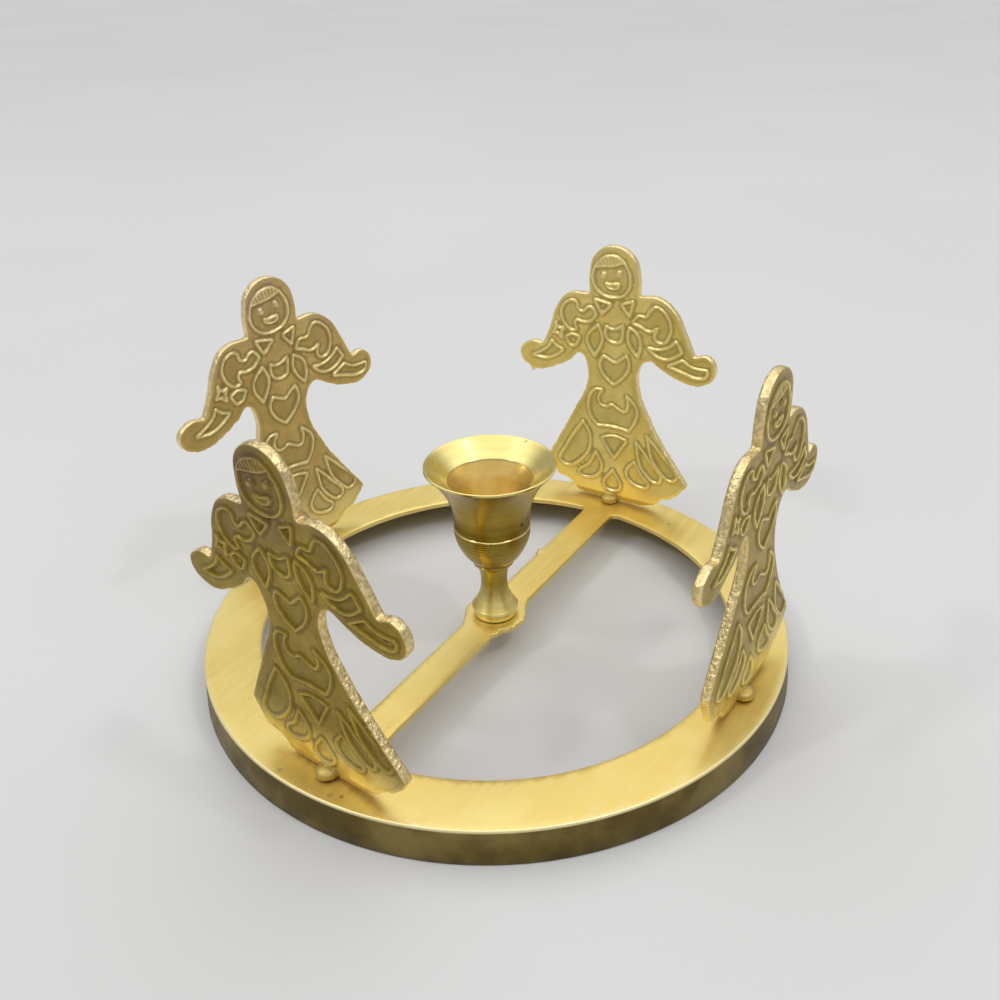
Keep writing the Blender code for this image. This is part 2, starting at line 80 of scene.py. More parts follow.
# Angel outline seen from the decorated face: x to the right of the middle, z up from the ring's
# top. A third value marks a corner, and the other points are rounded through.
ANGEL_OUTLINE = [
    (-9.9, 83.2, 1), (-9.9, 90.5), (-7.4, 97.9), (-0.4, 101.2), (6.9, 97.9), (9.4, 90.5),
    (9.3, 84.4, 1), (16.6, 84.9), (22.6, 81.0), (26.4, 74.4), (30.5, 65.4, 1), (35.4, 66.5),
    (38.7, 61.0), (34.6, 55.7), (26.6, 55.5), (18.6, 58.7), (13.6, 61.2), (10.0, 57.6), (9.3, 50.4),
    (14.2, 37.2), (29.8, 13.6, 1), (24.6, 7.6), (20.4, 5.6, 1), (17.4, 3.2), (14.6, 1.8),
    (8.2, 1.0), (-1.5, 1.0), (-12.5, 1.1), (-15.8, 1.7, 1), (-18.0, 4.4, 1), (-20.2, 5.6),
    (-24.4, 6.0, 1), (-28.0, 15.4, 1), (-15.8, 38.4), (-11.4, 47.6), (-11.2, 55.4), (-13.9, 60.0),
    (-17.8, 56.9), (-23.4, 53.4), (-34.6, 50.6), (-39.9, 56.2), (-35.4, 61.2), (-29.9, 60.9, 1),
    (-26.6, 68.2), (-24.2, 75.4), (-18.8, 82.0),
]

# Raised lines on the decorated side: the face with hair, two dots for eyes and a smile.
FACE = [
    (-7.6, 93.4, 1), (-8.3, 88.6), (-5.6, 84.3), (-0.6, 83.0), (4.7, 85.4), (6.2, 90.8),
    (3.9, 96.0, 1), (0.6, 94.7), (-3.4, 94.0),
]
HAIR = [(-7.6, 93.4, 1), (-5.8, 95.7), (-2.9, 97.4), (0.9, 97.7), (3.9, 96.0, 1)]
HAIR_STROKES = 9
EYES = [(-4.0, 90.6), (1.9, 91.7)]
SMILE = [
    (-3.3, 88.0, 1), (-1.7, 87.6), (-0.3, 87.9), (2.1, 88.1, 1), (1.4, 86.7), (-0.6, 86.2),
    (-2.6, 86.7),
]
# Closed lines: face, two collars, two leaves, shield, heart, crescent, two sleeves, star, forearm,
# two cuffs and a hand, then the petals at the hem.
MOTIFS = [
    FACE,
    [(-7.7, 81.5, 1), (-1.0, 80.4, 1), (-4.9, 76.3, 1)],
    [(2.8, 80.9, 1), (7.6, 82.7, 1), (6.0, 76.8, 1)],
    [(-6.3, 72.3, 1), (-4.6, 67.4), (-7.8, 59.7, 1), (-10.7, 66.6)],
    [(6.0, 73.0, 1), (9.6, 70.4), (10.4, 66.2), (9.4, 62.2, 1), (6.2, 66.4), (5.4, 69.6)],
    [(-3.2, 72.2, 1), (-1.4, 71.3), (1.0, 71.6), (3.6, 73.2, 1), (3.3, 69.6), (2.4, 67.0),
     (-1.2, 66.5), (-3.2, 68.6)],
    [(-4.2, 60.6, 1), (0.6, 58.5, 1), (5.2, 62.2, 1), (6.1, 58.2), (4.4, 54.2), (-0.2, 49.6, 1),
     (-4.2, 53.4), (-5.6, 57.4)],
    [(-4.3, 47.0, 1), (-8.0, 46.4), (-10.4, 41.0), (-9.2, 35.0), (-6.6, 32.0, 1), (-0.4, 32.6),
     (6.2, 32.0, 1), (8.8, 36.6), (9.4, 41.6), (5.3, 46.3, 1), (5.8, 42.0), (4.2, 39.6),
     (1.4, 40.6), (-0.8, 41.6), (-3.2, 40.4), (-5.4, 41.2), (-6.2, 43.8)],
    [(-14.6, 79.2, 1), (-14.2, 77.0), (-12.3, 76.3), (-10.8, 77.9), (-8.9, 78.3), (-7.0, 75.9, 1),
     (-9.4, 73.2), (-12.2, 72.3), (-15.2, 72.6), (-15.7, 70.9), (-14.9, 69.2, 1), (-16.8, 68.4),
     (-19.5, 70.2), (-21.1, 73.4), (-20.8, 76.8), (-18.6, 79.3), (-16.1, 79.9)],
    [(7.2, 74.8, 1), (9.4, 77.6), (12.4, 77.8), (13.7, 80.0), (15.8, 81.8), (19.6, 80.0),
     (21.6, 76.0), (21.2, 72.0), (18.6, 68.9), (15.9, 70.2), (16.7, 74.2, 1), (13.8, 72.6),
     (10.4, 73.8)],
    [(-23.7, 70.6, 1), (-22.2, 68.5), (-20.2, 69.0, 1), (-21.3, 67.2), (-21.0, 64.6, 1),
     (-23.3, 66.4), (-25.1, 66.3, 1), (-23.7, 68.3)],
    [(-25.7, 63.2, 1), (-26.9, 60.8), (-29.8, 58.3), (-34.1, 56.0, 1), (-28.6, 55.6), (-24.6, 57.2),
     (-20.7, 60.2, 1), (-23.4, 61.2)],
    [(-19.6, 65.6, 1), (-16.9, 62.4), (-13.6, 66.2, 1), (-17.0, 66.9)],
    [(13.2, 66.6, 1), (17.4, 66.4), (21.0, 67.8), (24.0, 70.6, 1), (26.2, 66.9, 1), (23.5, 64.6),
     (20.0, 63.2), (16.4, 63.9)],
    [(21.0, 60.9, 1), (26.6, 64.0, 1), (30.0, 62.0), (35.9, 61.8, 1), (35.2, 59.2), (32.1, 58.2),
     (26.8, 59.4)],
    [(-12.8, 32.6, 1), (-9.8, 27.0), (-13.0, 16.6), (-22.4, 12.6), (-20.0, 20.6)],
    [(-7.4, 20.6, 1), (-4.9, 14.6), (-9.4, 8.8), (-14.6, 9.6), (-10.6, 14.4)],
    [(-5.0, 27.2, 1), (0.2, 28.8), (5.6, 27.8, 1), (0.2, 19.2, 1)],
    [(-0.2, 14.2, 1), (2.9, 7.0), (-0.4, 4.8), (-3.8, 6.6)],
    [(8.8, 19.8, 1), (5.4, 14.4), (9.2, 9.8), (14.6, 10.6), (11.8, 14.6)],
    [(9.2, 28.4, 1), (14.6, 22.0), (19.0, 13.4), (12.6, 16.6)],
    [(13.4, 32.0, 1), (19.0, 26.0), (25.0, 15.6), (17.6, 20.0)],
]

# Raised lines, a height and half a width each, with a shallow dip beside them; the least height
# and crest in the hair and the smile; the sunk fields and the eyes.
DRAW_STEP = 0.15
DRAW_SOFT = 0.3
LINE = (0.56, 0.58)
LINE_ROUND = 0.75
LINE_DIP = 0.10
LINE_DIP_AT = 0.88
LINE_DIP_REACH = 0.28
STROKE = (0.52, 0.45)
HAIR_PAD = (0.2, 0.45)
SMILE_PAD = (0.3, 0.3)
MOTIF_SUNK = 0.12
EYE_R = 1.4
EYE_RISE = 0.75

# Mesh spacing on the angels: rows of points beside a line, falls at the edge, rings of an eye as
# a share of its radius and a count, and the room kept free round points.
OUTLINE_STEP = 0.42
OUTLINE_SOFT = 0.55
FACE_STEP = 0.85
BACK_STEP = 1.6
LINE_ROWS = (0.0, 0.24, 0.44, 0.60, 0.88)
ROW_EVERY = 3
FALL_ROWS = (0.4, 0.85)
EYE_ROWS = ((0.0, 1), (0.35, 6), (0.65, 10), (0.85, 14), (1.0, 16), (1.15, 16))
CLOSEST = 0.17
MARK_GAP = 0.3
FACE_GAP = 0.5
BACK_GAP = 0.7

# Rounded edge of an angel, from its front to its back: how far in, and how deep. The face falls
# off towards it over a short way.
EDGE_IN = 0.6
EDGE_PROFILE = [(0.6, 0.1), (0.3, 0.16), (0.1, 0.34), (0.02, 0.75), (0.0, 1.5), (0.04, 2.2),
                (0.14, 2.65), (0.34, 2.89), (0.6, 3.0)]
FALL_REACH = 0.9

# Flash on an angel's outline: how strong, and where. Only lower edges of hem and sleeves have it,
# and both sides of the skirt; none of it reaches below the lowest height.
HEM_FLASH, HEM_TOP = 0.45, 14.0
SLEEVE_FLASH, SLEEVE_FOOT = 0.42, 48.0
SIDE_FLASH, SIDE_FOOT, SIDE_TOP, SIDE_REACH = 0.24, 9.0, 49.0, 30.0
HEM_LOWEST = 0.5
FACING_DOWN = 0.2
# Pebbled sand marks round the edge: strong from the skirt to the sleeves, faint elsewhere.
PEBBLE_STRONG, PEBBLE_FAINT = 0.22, 0.06
PEBBLE_FOOT, PEBBLE_TOP, PEBBLE_INNER = 9.0, 52.0, 8.0
SEED_STEP = 9.0

# Ring: one casting of an L section, with the cross bar and its pad.
RING_WIDTH = 18.6
RING_PLATE = 1.8
SKIRT_THICK = 2.6
SKIRT_ROWS = (0.04, 0.3, 0.6, 0.96)
SKIRT_CHAMFER = 0.35
RING_DRAFT = 0.9
LIP_ROUND = 0.55
LIP_BAND = 0.7
SKIRT_FILLET = 1.4
BAR_HALF = 5.7
BAR_FILLET = 2.0
BAR_EDGE = 0.3
PAD_R = 10.2
PAD_BLEND = 2.5
PAD_STEPS = 12
ARC_STEPS = 60
HOLE_STEP = 0.5
HOLE_SOFT = 0.7
RING_STEP = 1.3
RING_FACE_STEP = 1.9
RING_GAP = 0.8
CUP_HOLE_R = 2.9
SCREW_HOLE_SIDES = 28
SCREW_HOLE_EDGE = 0.15
# A rounded edge's middle point as a share of its radius.
ROUND_MIDDLE = 0.3
# Burrs on the edges of the bar and its pad: place on the ring's top, height and reach.
BURRS = [(-5.7, 40.5, 1.5, 0.9), (-5.7, 38.6, 1.1, 0.8), (6.2, -9.6, 0.9, 0.7),
         (5.8, -14.0, 0.5, 0.6)]

# Candle cup, heights above its base. A pair is a radius and a height.
CUP_RIM_R = 20.5
CUP_HEIGHT = 55.0
CUP_LIP = 0.7
BORE_MOUTH = (13.3, 49.7)
BORE_FLOOR = (11.0, 31.0)
BOWL_WALL = 1.1
FLARE_FOOT_Z = 35.0
GROOVE_Z = 33.9
TURNED_LINES = (32.7, 31.9, 31.2, 30.2, 28.9, 24.9, 24.2, 20.0)
TURNED_DEPTH, TURNED_HALF = 0.07, 0.14
CONE_LINES = (8.4, 7.2, 6.4, 5.7, 5.1, 4.6, 4.1, 3.7)
BOWL_BOTTOM = (6.5, 20.6)
NECK_TOP_R = 5.9
NECK = (4.3, 12.4)
CONE = (7.6, 3.3)
CUP_BASE_R = 6.9
CUP_BASE_HEIGHT = 1.7
CUP_SCREW_TOP = 7.8
CUP_TURNS = 144

# Screws: the head's radius and height as shares of the shank's radius, then thread and slot.
SCREW_HEAD = (1.9, 1.1)
SCREW_CHAMFER = 0.5
THREAD_PITCH = 0.7
THREAD_DEPTH = 0.22
THREAD_FREE = 0.4
HEAD_EDGE = 0.15
HEAD_RIM = 0.3
SLOT_SHARES = (4, 0.3, 0.9)
SMALL_TURNS = 40


def new_object(name, data):
    made = bpy.data.objects.new(name, data)
    bpy.context.scene.collection.objects.link(made)
    return made


def bmesh_of(name, operation, **settings):
    mesh = bpy.data.meshes.new(name)
    work = bmesh.new()
    operation(work, **settings)
    work.to_mesh(mesh)
    work.free()
    return mesh


def clamped(value):
    return min(1.0, max(0.0, value))


def quarter(count):
    """Angles from zero to a right angle."""
    return np.linspace(0.0, math.pi / 2, count)


def path_points(points, closed=True):
    """Dense points on the smooth line through (x, y) points, with (x, y, 1) at its corners."""
    curve = bpy.data.curves.new("path", "CURVE")
    curve.dimensions = "3D"
    spline = curve.splines.new("BEZIER")
    spline.resolution_u = 14
    spline.bezier_points.add(len(points) - 1)
    spline.use_cyclic_u = closed
    for knot, (x, y, *corner) in zip(spline.bezier_points, points):
        knot.co = (x, y, 0.0)
        knot.handle_left_type = "VECTOR" if corner else "AUTO"
        knot.handle_right_type = "VECTOR" if corner else "AUTO"
    helper = new_object("path", curve)
    mesh = helper.evaluated_get(bpy.context.evaluated_depsgraph_get()).to_mesh()
    found = np.array([tuple(vertex.co)[:2] for vertex in mesh.vertices])
    bpy.data.objects.remove(helper)
    bpy.data.curves.remove(curve)
    return found


def even(points, step, closed=True):
    """The same line with its points an equal step apart."""
    line = np.vstack([points, points[:1]]) if closed else points
    runs = np.linalg.norm(np.diff(line, axis=0), axis=1)
    line = line[np.append(True, runs > 1e-6)]
    reach = np.append(0.0, np.cumsum(np.linalg.norm(np.diff(line, axis=0), axis=1)))
    count = max(6 if closed else 2, int(round(reach[-1] / step)))
    spots = np.linspace(0.0, reach[-1], count + 1)
    found = np.column_stack([np.interp(spots, reach, line[:, axis]) for axis in (0, 1)])
    return found[:-1] if closed else found


def drawn(points, closed=True):
    """The line through drawn points, in equal small steps."""
    return even(path_points(points, closed), DRAW_STEP, closed)


def softened(points, reach, step):
    """A closed line with its corners rounded over about the given reach."""
    for _ in range(int(2 * (reach / step) ** 2)):
        points = 0.5 * points + 0.25 * (np.roll(points, 1, axis=0) + np.roll(points, -1, axis=0))
    return points


def outward(points):
    """Unit normals of a closed line, pointing out of it."""
    along = np.roll(points, -1, axis=0) - np.roll(points, 1, axis=0)
    along /= np.linalg.norm(along, axis=1, keepdims=True)
    normal = np.column_stack([along[:, 1], -along[:, 0]])
    after = np.roll(points, -1, axis=0)
    area = np.sum(points[:, 0] * after[:, 1] - after[:, 0] * points[:, 1])
    return normal if area > 0 else -normal


def inside(points, loop):
    found = np.zeros(len(points), bool)
    px, py = points[:, 0], points[:, 1]
    for (ax, ay), (bx, by) in zip(loop, np.roll(loop, -1, axis=0)):
        if ay != by:
            crosses = (ay > py) != (by > py)
            found ^= crosses & (px < (bx - ax) * (py - ay) / (by - ay) + ax)
    return found


def tree_of(points):
    """A search tree for the nearest of some flat points."""
    tree = kdtree.KDTree(len(points))
    for index, (x, y) in enumerate(points):
        tree.insert((x, y, 0.0), index)
    tree.balance()
    return tree


def thinned(points, least):
    """Points in order, leaving out those closer than the least distance to an earlier one."""
    cells = {}
    kept = []
    for x, y in points:
        cell = (int(x // least), int(y // least))
        near = [q for i in (-1, 0, 1) for j in (-1, 0, 1)
                for q in cells.get((cell[0] + i, cell[1] + j), ())]
        if all((x - q[0]) ** 2 + (y - q[1]) ** 2 > least ** 2 for q in near):
            cells.setdefault(cell, []).append((x, y))
            kept.append((x, y))
    return np.array(kept)


def grid(loop, step):
    """Staggered grid points over a closed line's box, without those outside it."""
    low, high = loop.min(axis=0), loop.max(axis=0)
    rows = []
    height = step * math.sqrt(3) / 2
    for row in range(int((high[1] - low[1]) / height) + 1):
        xs = np.arange(low[0] + (row % 2) * step / 2, high[0], step)
        rows.append(np.column_stack([xs, np.full(len(xs), low[1] + row * height)]))
    found = np.vstack(rows)
    return found[inside(found, loop)]


def clear_of(points, lines, least):
    """The points that keep at least the given distance to the lines' own points."""
    tree = tree_of(np.vstack(lines))
    return np.array([p for p in points if tree.find((p[0], p[1], 0.0))[2] > least])


def filled(loops, inner):
    """Triangles between the first closed line and the others, as indices of all the points."""
    flat = np.vstack(loops + [inner])
    edges = []
    start = 0
    for loop in loops:
        edges += [(start + i, start + (i + 1) % len(loop)) for i in range(len(loop))]
        start += len(loop)
    found = geometry.delaunay_2d_cdt([Vector(p) for p in flat], edges, [], 0, 1e-6)
    if len(found[0]) != len(flat):
        raise ValueError("two points of a casting's face are in one place, or two edges cross")
    triangles = np.array(found[2])
    order = np.array([origins[0] for origins in found[3]])
    centres = np.array([tuple(p) for p in found[0]])[triangles].mean(axis=1)
    keep = inside(centres, loops[0])
    for hole in loops[1:]:
        keep &= ~inside(centres, hole)
    return order[triangles[keep]]


def casting(name, walls, front, back, face_axes):
    """One closed body: a front and a back face, joined round each wall of rings of points."""
    blocks = [ring for wall in walls for ring in wall] + [front, back]
    ends = np.cumsum([len(block) for block in blocks])
    ids = [np.arange(end - len(block), end) for block, end in zip(blocks, ends)]
    verts = np.vstack(blocks)
    faces, first_rings, last_rings = [], [], []
    index = 0
    for wall in walls:
        rings = ids[index:index + len(wall)]
        for low, high in zip(rings, rings[1:]):
            faces += zip(low, np.roll(low, -1), np.roll(high, -1), high)
        first_rings.append(rings[0])
        last_rings.append(rings[-1])
        index += len(wall)
    for rings, inner in ((first_rings, ids[-2]), (last_rings, ids[-1])):
        every = np.concatenate(rings + [inner])
        loops = [verts[ring][:, face_axes] for ring in rings]
        faces += [tuple(every[triangle]) for triangle in filled(loops, verts[inner][:, face_axes])]
    mesh = bpy.data.meshes.new(name)
    mesh.from_pydata([tuple(p) for p in verts * MM], [], [tuple(map(int, f)) for f in faces])
    return solid(mesh)


def solid(mesh):
    """The mesh with its faces turned outwards and shaded smooth."""
    work = bmesh.new()
    work.from_mesh(mesh)
    bmesh.ops.recalc_face_normals(work, faces=work.faces)
    work.to_mesh(mesh)
    work.free()
    mesh.shade_smooth()
    return mesh


def bumps(x, y, z, *layers, level=0.0):
    """A level with smooth noise added. Each layer is a height up and down, a size and a seed."""
    for height, size, seed in layers:
        level += height * noise.noise(Vector((x / size + seed, y / size - seed, z / size)))
    return level


def relief_lines():
    """All raised lines: the points, normals, height and half width of each."""
    lines = []
    for motif in MOTIFS + [SMILE]:
        loop = softened(drawn(motif), DRAW_SOFT, DRAW_STEP)
        lines.append((loop, outward(loop), *LINE))
    fringe = drawn(FACE[6:] + FACE[:1], closed=False)
    crown = drawn(HAIR, closed=False)
    for stroke in range(HAIR_STROKES):
        share = (stroke + 0.8) / (HAIR_STROKES + 0.6)
        low = fringe[int((1.0 - share) * (len(fringe) - 1))]
        high = crown[int(share * (len(crown) - 1))]
        line = even(np.array([low, high]), DRAW_STEP, closed=False)
        across = (high - low)[::-1] * (1.0, -1.0) / max(np.linalg.norm(high - low), 0.1)
        lines.append((line, np.tile(across, (len(line), 1)), *STROKE))
    lines.append((crown, np.tile((0.0, 1.0), (len(crown), 1)), *STROKE))
    return lines, np.vstack([crown, fringe])


def relief_height(points, lines, hair, edge):
    """At each point of the decorated face: its height, how much it is a crest, and how much patina
    and painted shade it gets.
    """
    loops = [line for line, _, _, _ in lines]
    rise = np.concatenate([np.full(len(line), up) for line, _, up, _ in lines])
    half = np.concatenate([np.full(len(line), out) for line, _, _, out in lines])
    tree = tree_of(np.vstack(loops))
    edge_tree = tree_of(edge)
    sunk = np.zeros(len(points))
    for loop in loops[:len(MOTIFS)]:
        sunk = np.maximum(sunk, inside(points, loop))
    pads = [(inside(points, hair), *HAIR_PAD), (inside(points, loops[len(MOTIFS)]), *SMILE_PAD)]
    heights, crests, patina_and_shade_levels = np.zeros((3, len(points)))
    for index, (x, y) in enumerate(points):
        _, nearest, distance = tree.find((x, y, 0.0))
        width = half[nearest] * bumps(x, y, 0.0, (0.22, 2.6, 12.0), level=1.0)
        crest = max(0.0, 1.0 - (distance / width) ** 2) ** LINE_ROUND
        crest *= bumps(x, y, 0.0, (0.30, 1.9, 3.0), (0.20, 0.8, 9.0), level=1.0)
        dip = math.exp(-((distance - LINE_DIP_AT) / LINE_DIP_REACH) ** 2)
        level = rise[nearest] * crest - LINE_DIP * dip
        level -= MOTIF_SUNK * sunk[index] * min(1.0, distance)
        for within, least_level, least_crest in pads:
            if within[index]:
                level, crest = max(level, least_level), max(crest, least_crest)
        for eye in EYES:
            from_eye = math.hypot(x - eye[0], y - eye[1]) / EYE_R
            if from_eye < 1.0:
                level = EYE_RISE * math.sqrt(1.0 - from_eye ** 2)
                crest = 1.0 - 0.5 * from_eye
        level += bumps(x, y, 0.0, (0.10, 7.0, 1.0), (0.045, 1.7, 5.0))
        away = edge_tree.find((x, y, 0.0))[2]
        level -= EDGE_PROFILE[0][1] * max(0.0, 1.0 - away / FALL_REACH) ** 2
        heights[index] = level
        crests[index] = min(1.0, crest * rise[nearest] / LINE[0])
        # Painted shadow: a dark band on the face just inside its edge.
        edge_shadow = 0.28 * math.exp(-((away - 0.95) / 0.4) ** 2)
        patina_and_shade = max(dip, 0.35 * sunk[index], edge_shadow)
        patina_and_shade_levels[index] = patina_and_shade * (1.0 - min(1.0, crest))
    return heights, crests, patina_and_shade_levels


def rough_outline(outline, normals, seed, spikes):
    """How far each point of an angel's outline stands out: beads, flash and single spikes."""
    out = np.zeros(len(outline))
    for index, ((x, z), normal) in enumerate(zip(outline, normals)):
        down = max(0.0, -normal[1])
        hem = down if z < HEM_TOP else 0.0
        sleeve = down if z > SLEEVE_FOOT else 0.0
        side = 1.0 if SIDE_FOOT < z < SIDE_TOP and abs(x) < SIDE_REACH else 0.0
        out[index] = bumps(x, z, seed, (0.12, 5.0, 4.0))
        share = HEM_FLASH * hem + SLEEVE_FLASH * sleeve + SIDE_FLASH * side
        out[index] += share * bumps(x, z, seed, (1.0, 2.2, 7.0), (0.6, 0.9, 2.0))
        for spike_x, spike_z, height, reach in spikes:
            away = math.hypot(x - spike_x, z - spike_z) / reach
            out[index] += height * max(0.0, 1.0 - away) ** 1.5
    room = (outline[:, 1] - HEM_LOWEST) / np.maximum(-normals[:, 1], FACING_DOWN)
    return np.where(normals[:, 1] < -FACING_DOWN, np.minimum(out, room), out)


def edge_rings(smooth, normals, seed, spikes):
    """Rings of points round an angel's rough edge, from its front to its back."""
    ragged = rough_outline(smooth, normals, seed, spikes)
    rings = []
    for inset, depth in EDGE_PROFILE:
        share = 1.0 - inset / EDGE_IN
        line = smooth + normals * (ragged * share - inset)[:, None]
        ring = np.column_stack([line[:, 0], np.full(len(line), depth), line[:, 1]])
        for index, (x, y, z) in enumerate(ring):
            strong = PEBBLE_FOOT < z < PEBBLE_TOP and abs(x) > PEBBLE_INNER
            pebble = PEBBLE_STRONG if strong else PEBBLE_FAINT
            rough = pebble * share * bumps(x, y, z + SEED_STEP * seed, (1.0, 0.85, 6.0))
            ring[index] += (normals[index][0] * rough, 0.0, normals[index][1] * rough)
        rings.append(ring)
    return rings


def face_points(smooth, normals, lines, inner_edge):
    """Points of the decorated face: round the eyes, along and beside the lines, then a grid."""
    rows = [line[::ROW_EVERY] + side * row * across[::ROW_EVERY]
            for row in LINE_ROWS for side in ((1.0,) if row == 0.0 else (1.0, -1.0))
            for line, across, _, _ in lines]
    rows += [smooth - normals * (EDGE_IN + fall) for fall in FALL_ROWS]
    for eye in EYES:
        for share, count in EYE_ROWS:
            rows.insert(0, circle(share * EYE_R, count, eye))
    marks = np.vstack(rows)
    marks = marks[inside(marks, inner_edge)]
    marks = clear_of(thinned(marks, CLOSEST), [inner_edge], MARK_GAP)
    plain = clear_of(grid(inner_edge, FACE_STEP), [inner_edge, marks], FACE_GAP)
    return np.vstack([marks, plain])


def angel_mesh(seed, spikes):
    """The cast angel on its foot's axis, its decorated face towards -Y, in metres."""
    smooth = even(path_points(ANGEL_OUTLINE), OUTLINE_STEP)
    smooth = even(softened(smooth, OUTLINE_SOFT, OUTLINE_STEP), OUTLINE_STEP)
    normals = outward(smooth)
    rings = edge_rings(smooth, normals, seed, spikes)
    lines, hair = relief_lines()
    inner_edge = rings[0][:, (0, 2)]
    face = face_points(smooth, normals, lines, inner_edge)
    heights, crests, patina_and_shade_levels = relief_height(face, lines, hair, inner_edge)
    front = np.column_stack([face[:, 0], -heights, face[:, 1]])
    back_edge = rings[-1][:, (0, 2)]
    behind = clear_of(grid(back_edge, BACK_STEP), [back_edge], BACK_GAP)
    dents = [bumps(x, z, seed, (0.15, 7.0, 8.0)) for x, z in behind]
    back = np.column_stack([behind[:, 0], PLATE_THICK + np.array(dents), behind[:, 1]])
    mesh = casting("angel_casting", [rings], front, back, (0, 2))
    rim = np.repeat([1.0 - inset / EDGE_IN for inset, _ in EDGE_PROFILE], len(smooth))
    masks = {"crest": (0 * rim, crests), "patina_and_shade": (0 * rim, patina_and_shade_levels), "rim": (rim, 0 * crests)}
    for mask_name, values in masks.items():
        add_mask(mesh, mask_name, np.concatenate([*values, np.zeros(len(back))]))
    mesh.transform(Matrix.Translation((OUTLINE_SHIFT * MM, PLATE_FRONT * MM, 0.0)))
    return mesh


def add_mask(mesh, name, values):
    """A value from 0 to 1 at each vertex, for the material."""
    mask = mesh.attributes.new(name, "FLOAT", "POINT")
    mask.data.foreach_set("value", np.asarray(values, np.float32))


def turned_mesh(name, profile, turns, wobble=0.0):
    """A closed body turned about Z from (radius, height) points that start and end on the axis."""
    verts = []
    faces = []
    rims = []
    for radius, height in profile:
        if radius < 1e-6:
            rims.append([len(verts)] * turns)
            verts.append((0.0, 0.0, height * MM))
            continue
        rims.append([len(verts) + i for i in range(turns)])
        for i in range(turns):
            angle = math.tau * i / turns
            r = radius * MM
            if wobble:
                r += wobble * MM * bumps(3 * math.cos(angle), 3 * math.sin(angle), height,
                                         (1.0, 2.0, 1.0))
            verts.append((r * math.cos(angle), r * math.sin(angle), height * MM))
    for low, high in zip(rims, rims[1:]):
        for i in range(turns):
            j = (i + 1) % turns
            ids = list(dict.fromkeys((low[i], low[j], high[j], high[i])))
            if len(ids) > 2:
                faces.append(ids)
    mesh = bpy.data.meshes.new(name)
    mesh.from_pydata(verts, [], faces)
    return solid(mesh)


def combined(mesh, helper_mesh, operation):
    target = new_object("target", mesh)
    helper = new_object("helper", helper_mesh)
    join = target.modifiers.new("join", "BOOLEAN")
    join.operation = operation
    join.solver = "EXACT"
    join.object = helper
    joined = target.evaluated_get(bpy.context.evaluated_depsgraph_get())
    found = bpy.data.meshes.new_from_object(joined)
    bpy.data.objects.remove(target)
    bpy.data.objects.remove(helper)
    return found


def place_piece(name, mesh, body, node, place, turn=(0.0, 0.0, 0.0)):
    """Puts a finished mesh at its place, on its body and instead of its CAD node."""
    made = new_object(name, mesh)
    made.location = place
    made.rotation_euler = [math.radians(angle) for angle in turn]
    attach(made, body)
    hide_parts(node)


def boss_profile():
    """The foot boss with its screw hole, from the hole's top down and round over the dome."""
    hole = [(0.0, BOSS_HOLE_TOP), (BOSS_HOLE_R, BOSS_HOLE_TOP), (BOSS_HOLE_R, BOSS_BOTTOM)]
    foot = [(BOSS_R - BOSS_CHAMFER, BOSS_BOTTOM), (BOSS_R, BOSS_BOTTOM + BOSS_CHAMFER)]
    dome = [(BOSS_R * math.cos(a), BOSS_HEIGHT + BOSS_DOME * math.sin(a))
            for a in quarter(9)[:-1]]
    return hole + foot + dome + [(0.0, BOSS_HEIGHT + BOSS_DOME)]


def make_angels():
    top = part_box("ring_base")[1].z
    hinges = {joint["name"]: joint["pos_m"] for joint in frame["joints"]}
    for seed, (name, (heading, lean, tip_left)) in enumerate(ANGELS.items()):
        boss = turned_mesh("boss", boss_profile(), SMALL_TURNS, wobble=0.08)
        mesh = combined(angel_mesh(seed, SPIKES.get(name, ())), boss, "UNION")
        mesh.materials.clear()
        mesh.materials.append(cast_brass("angel_brass_" + name, *ANGEL_TONES_LIT_AND_SHADED[name]))
        x, y, _ = hinges[name + "_angel_turn"]
        place_piece("cast_angel_" + name, mesh, name + "_angel", "angel_" + name,
                    (x, y, top), (lean, -tip_left, heading + 90.0))


def hole_beside_bar(inner_r, side):
    """The opening between the bar and the ring on one side, as a smooth closed line."""
    flare_y = math.sqrt(inner_r ** 2 - BAR_HALF ** 2)
    pad_start = math.asin(BAR_HALF / PAD_R)
    blend_y = PAD_R * math.cos(pad_start) + PAD_BLEND
    pad_start += PAD_BLEND / PAD_R
    sweep = math.pi - 2 * pad_start
    pad = [pad_start + sweep * step / PAD_STEPS for step in range(PAD_STEPS + 1)]
    first = -math.acos((BAR_HALF + BAR_FILLET) / inner_r)
    arc = [first - 2 * first * step / ARC_STEPS for step in range(ARC_STEPS + 1)]
    corner = ROUND_MIDDLE * BAR_FILLET
    points = [(BAR_HALF, blend_y)]
    points += [(PAD_R * math.sin(a), PAD_R * math.cos(a)) for a in pad]
    points += [(BAR_HALF, -blend_y), (BAR_HALF, -flare_y + BAR_FILLET),
               (BAR_HALF + corner, -flare_y + corner)]
    points += [(inner_r * math.cos(a), inner_r * math.sin(a)) for a in arc]
    points += [(BAR_HALF + corner, flare_y - corner), (BAR_HALF, flare_y - BAR_FILLET)]
    loop = softened(even(np.array(points), HOLE_STEP), HOLE_SOFT, HOLE_STEP)
    return even(loop * (side, 1.0), HOLE_STEP)


